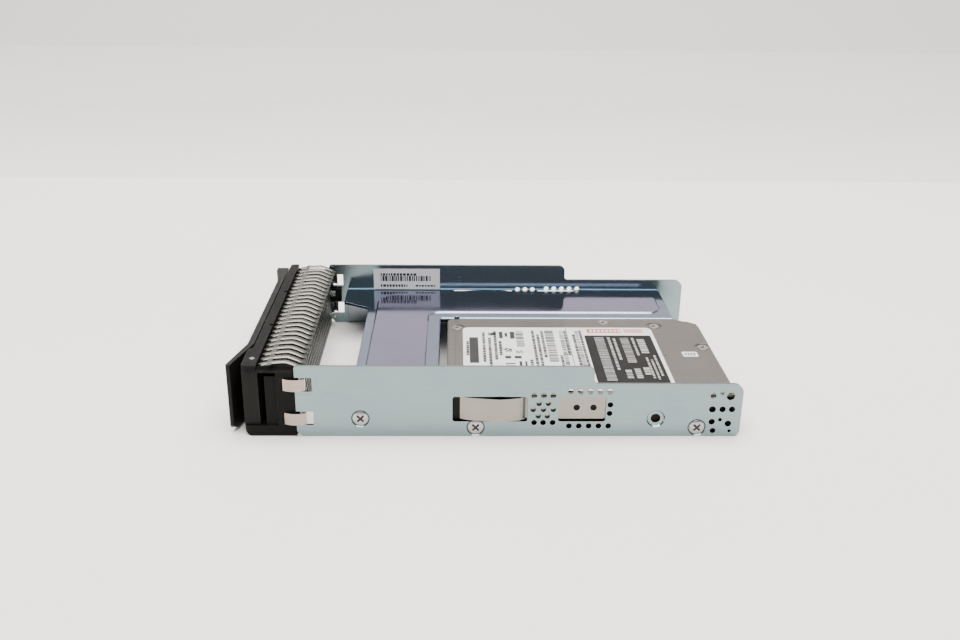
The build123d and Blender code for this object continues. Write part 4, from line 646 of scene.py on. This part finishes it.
# ------------------------------------------------------------------ screws with domed heads
AROUND, RINGS = 64, 22
SLOT_HALF, SLOT_SLOPE = 0.13, 0.05
SLOT_REACH, REACH_SLOPE = 0.62, 0.10
THREAD_STEP, THREAD_DEPTH = 0.25 * MM, 0.12 * MM


def solids(node):
    """Low and high corners, in metres, of each separate solid of a CAD node."""
    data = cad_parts[node].data
    keys = [tuple(round(c * 1e6) for c in v.co) for v in data.vertices]
    parent = {key: key for key in keys}

    def root(key):
        while parent[key] != key:
            parent[key] = parent[parent[key]]
            key = parent[key]
        return key

    for face in data.polygons:
        corners = [root(keys[i]) for i in face.vertices]
        for corner in corners[1:]:
            parent[root(corner)] = root(corners[0])
    groups = {}
    for key in parent:
        groups.setdefault(root(key), []).append(key)
    found = []
    for group in groups.values():
        found.append(([min(k[i] for k in group) / 1e6 for i in range(3)],
                      [max(k[i] for k in group) / 1e6 for i in range(3)]))
    return sorted(found)


def domed_screws(node, name, head_height, shank_radius, facing, dome=0.55, recess=0.6):
    """Cross-recess screws in place of a node's plain ones: domed head, recess and threaded shank."""
    mesh = bmesh.new()
    for low, high in solids(node):
        centre = (Vector(low) + Vector(high)) / 2
        axis = facing(centre)
        along = max(range(3), key=lambda i: abs(axis[i]))
        across = [i for i in range(3) if i != along]
        radius = (high[across[0]] - low[across[0]]) / 2
        length = high[along] - low[along]
        top = Vector(centre)
        top[along] = high[along] if axis[along] > 0 else low[along]
        place = Matrix.Translation(top) @ axis.to_track_quat("Z", "Y").to_matrix().to_4x4()
        edge = head_height * (1 - dome)
        head_rings = []
        for ring in range(1, RINGS + 1):
            share = ring / RINGS
            row = []
            for step in range(AROUND):
                angle = 2 * math.pi * step / AROUND
                x, y = radius * share * math.cos(angle), radius * share * math.sin(angle)
                u, v = abs(x + y) / math.sqrt(2) / radius, abs(x - y) / math.sqrt(2) / radius
                width_share = min(max(0.0, (SLOT_HALF - min(u, v)) / SLOT_SLOPE), 1.0)
                reach_share = min(max(0.0, (SLOT_REACH - max(u, v)) / REACH_SLOPE), 1.0)
                arm = width_share * reach_share
                z = -(head_height - edge) * share**2.6 - arm * head_height * recess
                row.append(mesh.verts.new(place @ Vector((x, y, z))))
            head_rings.append(row)
        tip = mesh.verts.new(place @ Vector((0, 0, -head_height * recess)))
        profile = [(radius, -head_height), (shank_radius, -head_height)]
        depth, thread = head_height, 0.0
        while depth < length - 0.45 * MM:
            depth += THREAD_STEP
            thread = 0.0 if thread else THREAD_DEPTH
            profile.append((shank_radius - thread, -depth))
        profile.append((shank_radius * 0.6, -length))
        for ring_radius, z in profile:
            row = [mesh.verts.new(place @ Vector((ring_radius * math.cos(2 * math.pi * step / AROUND),
                                                  ring_radius * math.sin(2 * math.pi * step / AROUND), z)))
                   for step in range(AROUND)]
            head_rings.append(row)
        end = mesh.verts.new(place @ Vector((0, 0, -length)))
        for step in range(AROUND):
            follow = (step + 1) % AROUND
            # The recess floor takes material 1, the dark steel: painted shade.
            face = mesh.faces.new((tip, head_rings[0][step], head_rings[0][follow]))
            face.material_index = 1
            mesh.faces.new((end, head_rings[-1][follow], head_rings[-1][step]))
            for ring in range(len(head_rings) - 1):
                inner, outer = head_rings[ring], head_rings[ring + 1]
                face = mesh.faces.new((inner[step], outer[step], outer[follow], inner[follow]))
                if ring < RINGS * 0.66:
                    middle = place.inverted() @ face.calc_center_median()
                    share = math.hypot(middle.x, middle.y) / radius
                    smooth = -(head_height - edge) * share**2.6
                    # Faces deep in the cross recess take the dark steel: painted shade.
                    face.material_index = int(middle.z < smooth - 0.35 * head_height * recess)
    for face in mesh.faces:
        face.smooth = True
    data = bpy.data.meshes.new(name)
    mesh.to_mesh(data)
    mesh.free()
    data.materials.append(bright_steel)
    data.materials.append(recess_shade_steel)
    made = bpy.data.objects.new(name, data)
    bpy.context.scene.collection.objects.link(made)
    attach(made, ROOT)
    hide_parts(node)
    return made


def sideways(centre):
    """Way that a side screw's head faces: out through the near rail, or away from it."""
    return Vector((0, -1, 0)) if centre.y < -0.04 else Vector((0, 1, 0))


domed_screws("bracket_screws", "bracket_screws_domed", 0.7 * MM, 1.45 * MM, sideways)
domed_screws("drive_mounting_screws", "drive_mounting_screws_domed", 0.7 * MM, 1.2 * MM, sideways)
domed_screws("cover_screws", "cover_screws_flat", 0.3 * MM, 0.85 * MM,
             lambda centre: Vector((0, 0, 1)), 0.3, 0.8)


# ------------------------------------------------------------------ spring finger comb
comb_low, comb_high = [[v / MM for v in corner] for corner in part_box("emi_finger_comb")]
FINGERS = 25
CREST = 0.60
FINGER_SHEET = 0.2
FINGER_CROWN = 0.42
CROSS_STRIP = (0.20, 0.31)
CROSS_STRIP_DROP = 0.30
FRONT_Z, REAR_Z, TOP_Z = 25.75, 24.42, comb_high[2] - 0.03


def arch_height(share):
    """Height in millimetres of a finger's middle line, from its front tip (0) to its rear end (1)."""
    if share < CREST:
        return FRONT_Z + (TOP_Z - FRONT_Z) * math.sin(math.pi / 2 * share / CREST) ** 0.9
    fall = (share - CREST) / (1 - CREST)
    soft = 0.75 * fall**1.25 + 0.25 * fall**2
    return TOP_Z + (REAR_Z - TOP_Z) * soft


def finger_comb():
    """Separate crowned fingers on one cross strip, each a closed strip of thin sheet."""
    mesh = bmesh.new()
    length = comb_high[0] - comb_low[0]
    pitch = (comb_high[1] - comb_low[1]) / FINGERS
    steps, columns = 34, 7

    def strip(middle, half_width, start, stop, drop, crown):
        grid = []
        for i in range(steps + 1):
            share = start + (stop - start) * i / steps
            half = half_width(share)
            row = []
            for j in range(columns):
                side = 2 * j / (columns - 1) - 1
                z = arch_height(share) - drop(share) - crown * abs(side) ** 2.2
                row.append((comb_low[0] + share * length, middle + side * half, z))
            grid.append(row)
        top = [[mesh.verts.new([c * MM for c in p]) for p in row] for row in grid]
        low = [[mesh.verts.new((x * MM, y * MM, (z - FINGER_SHEET) * MM)) for x, y, z in row] for row in grid]
        for i in range(steps):
            for j in range(columns - 1):
                mesh.faces.new((top[i][j], top[i + 1][j], top[i + 1][j + 1], top[i][j + 1]))
                mesh.faces.new((low[i][j], low[i][j + 1], low[i + 1][j + 1], low[i + 1][j]))
            mesh.faces.new((top[i][0], low[i][0], low[i + 1][0], top[i + 1][0]))
            mesh.faces.new((top[i][-1], top[i + 1][-1], low[i + 1][-1], low[i][-1]))
        for j in range(columns - 1):
            mesh.faces.new((top[0][j], top[0][j + 1], low[0][j + 1], low[0][j]))
            mesh.faces.new((top[-1][j], low[-1][j], low[-1][j + 1], top[-1][j + 1]))

    for index in range(FINGERS):
        middle = comb_low[1] + (index + 0.5) * pitch
        dip = rng.uniform(0.0, 0.12)
        tail_dip = rng.uniform(0.0, 0.10)
        late = rng.uniform(0.0, 0.012)
        widest = pitch * rng.uniform(0.275, 0.305)

        def half_width(share, widest=widest):
            tip = min(1.0, 0.45 + share / 0.06 * 0.55)
            tail = min(1.0, 0.62 + (1 - share) / 0.10 * 0.38)
            return widest * min(tip, tail)

        def drop(share, dip=dip, tail_dip=tail_dip):
            return dip * math.sin(math.pi * share) + tail_dip * 0.3 * share

        strip(middle, half_width, late, 1.0 - late, drop, FINGER_CROWN)
    strip((comb_low[1] + comb_high[1]) / 2, lambda share: (comb_high[1] - comb_low[1]) / 2,
          *CROSS_STRIP, lambda share: CROSS_STRIP_DROP, 0.0)
    for face in mesh.faces:
        face.smooth = True
    data = bpy.data.meshes.new("spring_finger_comb")
    mesh.to_mesh(data)
    mesh.free()
    data.materials.append(spring_strip)
    made = bpy.data.objects.new("spring_finger_comb", data)
    bpy.context.scene.collection.objects.link(made)
    made.modifiers.new("creases", "EDGE_SPLIT").split_angle = math.radians(50)
    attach(made, ROOT)
    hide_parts("emi_finger_comb")


finger_comb()

# ------------------------------------------------------------------ studio
CAMERA_PLACE = (-0.01063, -0.36731, 0.17025)
CAMERA_PITCH, CAMERA_YAW, CAMERA_ROLL = 21.97, 1.50, 0.71
CAMERA_LENS = 38.55
STAGE_HALF_WIDTH = 2.4
TABLE_PROFILE = [(-1.6, 0.0), (0.305, 0.0)]
BACKDROP_PROFILE = [(0.30, -0.004), (0.62, -0.004), (0.74, 0.03), (0.80, 0.12), (0.82, 1.7)]

camera_data = bpy.data.cameras.new("camera")
camera = bpy.data.objects.new("camera", camera_data)
bpy.context.scene.collection.objects.link(camera)
camera_data.sensor_width = 36.0
camera_data.lens = CAMERA_LENS
camera_data.clip_start = 0.01
pitch, yaw, roll = [math.radians(angle) for angle in (CAMERA_PITCH, CAMERA_YAW, CAMERA_ROLL)]
forward = Vector((math.sin(yaw) * math.cos(pitch), math.cos(yaw) * math.cos(pitch), -math.sin(pitch)))
level = forward.cross(Vector((0, 0, 1))).normalized()
upright = level.cross(forward)
right = math.cos(roll) * level + math.sin(roll) * upright
above = -math.sin(roll) * level + math.cos(roll) * upright
turn = Matrix((right, above, -forward)).transposed()
camera.matrix_world = Matrix.Translation(CAMERA_PLACE) @ turn.to_4x4()
bpy.context.scene.camera = camera


def stage_sheet(name, points, half_width, material):
    """A long sheet swept along X from a profile of (y, z) points."""
    mesh = bmesh.new()
    rows = [[mesh.verts.new((x, y, z)) for y, z in points] for x in (-half_width, half_width)]
    for i in range(len(points) - 1):
        mesh.faces.new((rows[0][i], rows[1][i], rows[1][i + 1], rows[0][i + 1]))
    data = bpy.data.meshes.new(name)
    mesh.to_mesh(data)
    mesh.free()
    data.materials.append(material)
    made = bpy.data.objects.new(name, data)
    bpy.context.scene.collection.objects.link(made)
    return made


def stage_paint(name, tone, shade, far_shade_tone=None):
    """Matt studio paint with faint clouds; given a far tone it fades to that darker tone backwards and
    upwards, a painted shade for the light's falloff.
    """
    look = Look(name)
    clouds = look.noise(180.0, 2.0)
    colour = look.mix(look.span(clouds, 0.35, 0.65), tone, shade)
    if far_shade_tone is not None:
        # Painted shade: the wall darkens backwards and upwards as if the light fell off.
        way = look.math("ADD", look.axis("Y"), look.axis("Z"))
        colour = look.mix(look.span(way, 0.30, 1.15), colour, far_shade_tone)
    look.bump(look.noise(0.8, 2.0), 0.01)
    return look.done(colour, 0.75)


table_paint = stage_paint("table_paint", (0.86, 0.825, 0.795, 1), (0.84, 0.805, 0.775, 1))
wall_paint = stage_paint("wall_paint", (0.74, 0.72, 0.71, 1), (0.72, 0.70, 0.69, 1),
                         (0.46, 0.445, 0.44, 1))
stage_sheet("table", TABLE_PROFILE, STAGE_HALF_WIDTH, table_paint)
stage_sheet("backdrop", BACKDROP_PROFILE, STAGE_HALF_WIDTH, wall_paint)


def softbox(name, place, target, size, watts, tint=(1, 1, 1)):
    """Rectangular area light that faces its target."""
    data = bpy.data.lights.new(name, "AREA")
    data.shape = "RECTANGLE"
    data.size, data.size_y = size
    data.energy = watts
    data.color = tint
    made = bpy.data.objects.new(name, data)
    bpy.context.scene.collection.objects.link(made)
    aim = Vector(target) - Vector(place)
    made.matrix_world = Matrix.Translation(place) @ aim.to_track_quat("-Z", "Y").to_matrix().to_4x4()


softbox("overhead", (0.0, -0.05, 1.25), (0, 0, 0), (1.7, 1.4), 58.0, (1.0, 0.98, 0.965))
softbox("wall_wash", (0.0, 0.25, 1.5), (0, 0.8, 0.3), (1.8, 0.5), 10.0)
softbox("front", (-0.2, -1.0, 1.5), (0, 0, 0), (1.2, 0.5), 8.0)

world = bpy.data.worlds.new("studio")
bpy.context.scene.world = world
world.use_nodes = True
background = world.node_tree.nodes["Background"]
background.inputs["Color"].default_value = (0.52, 0.505, 0.49, 1)
background.inputs["Strength"].default_value = 0.95
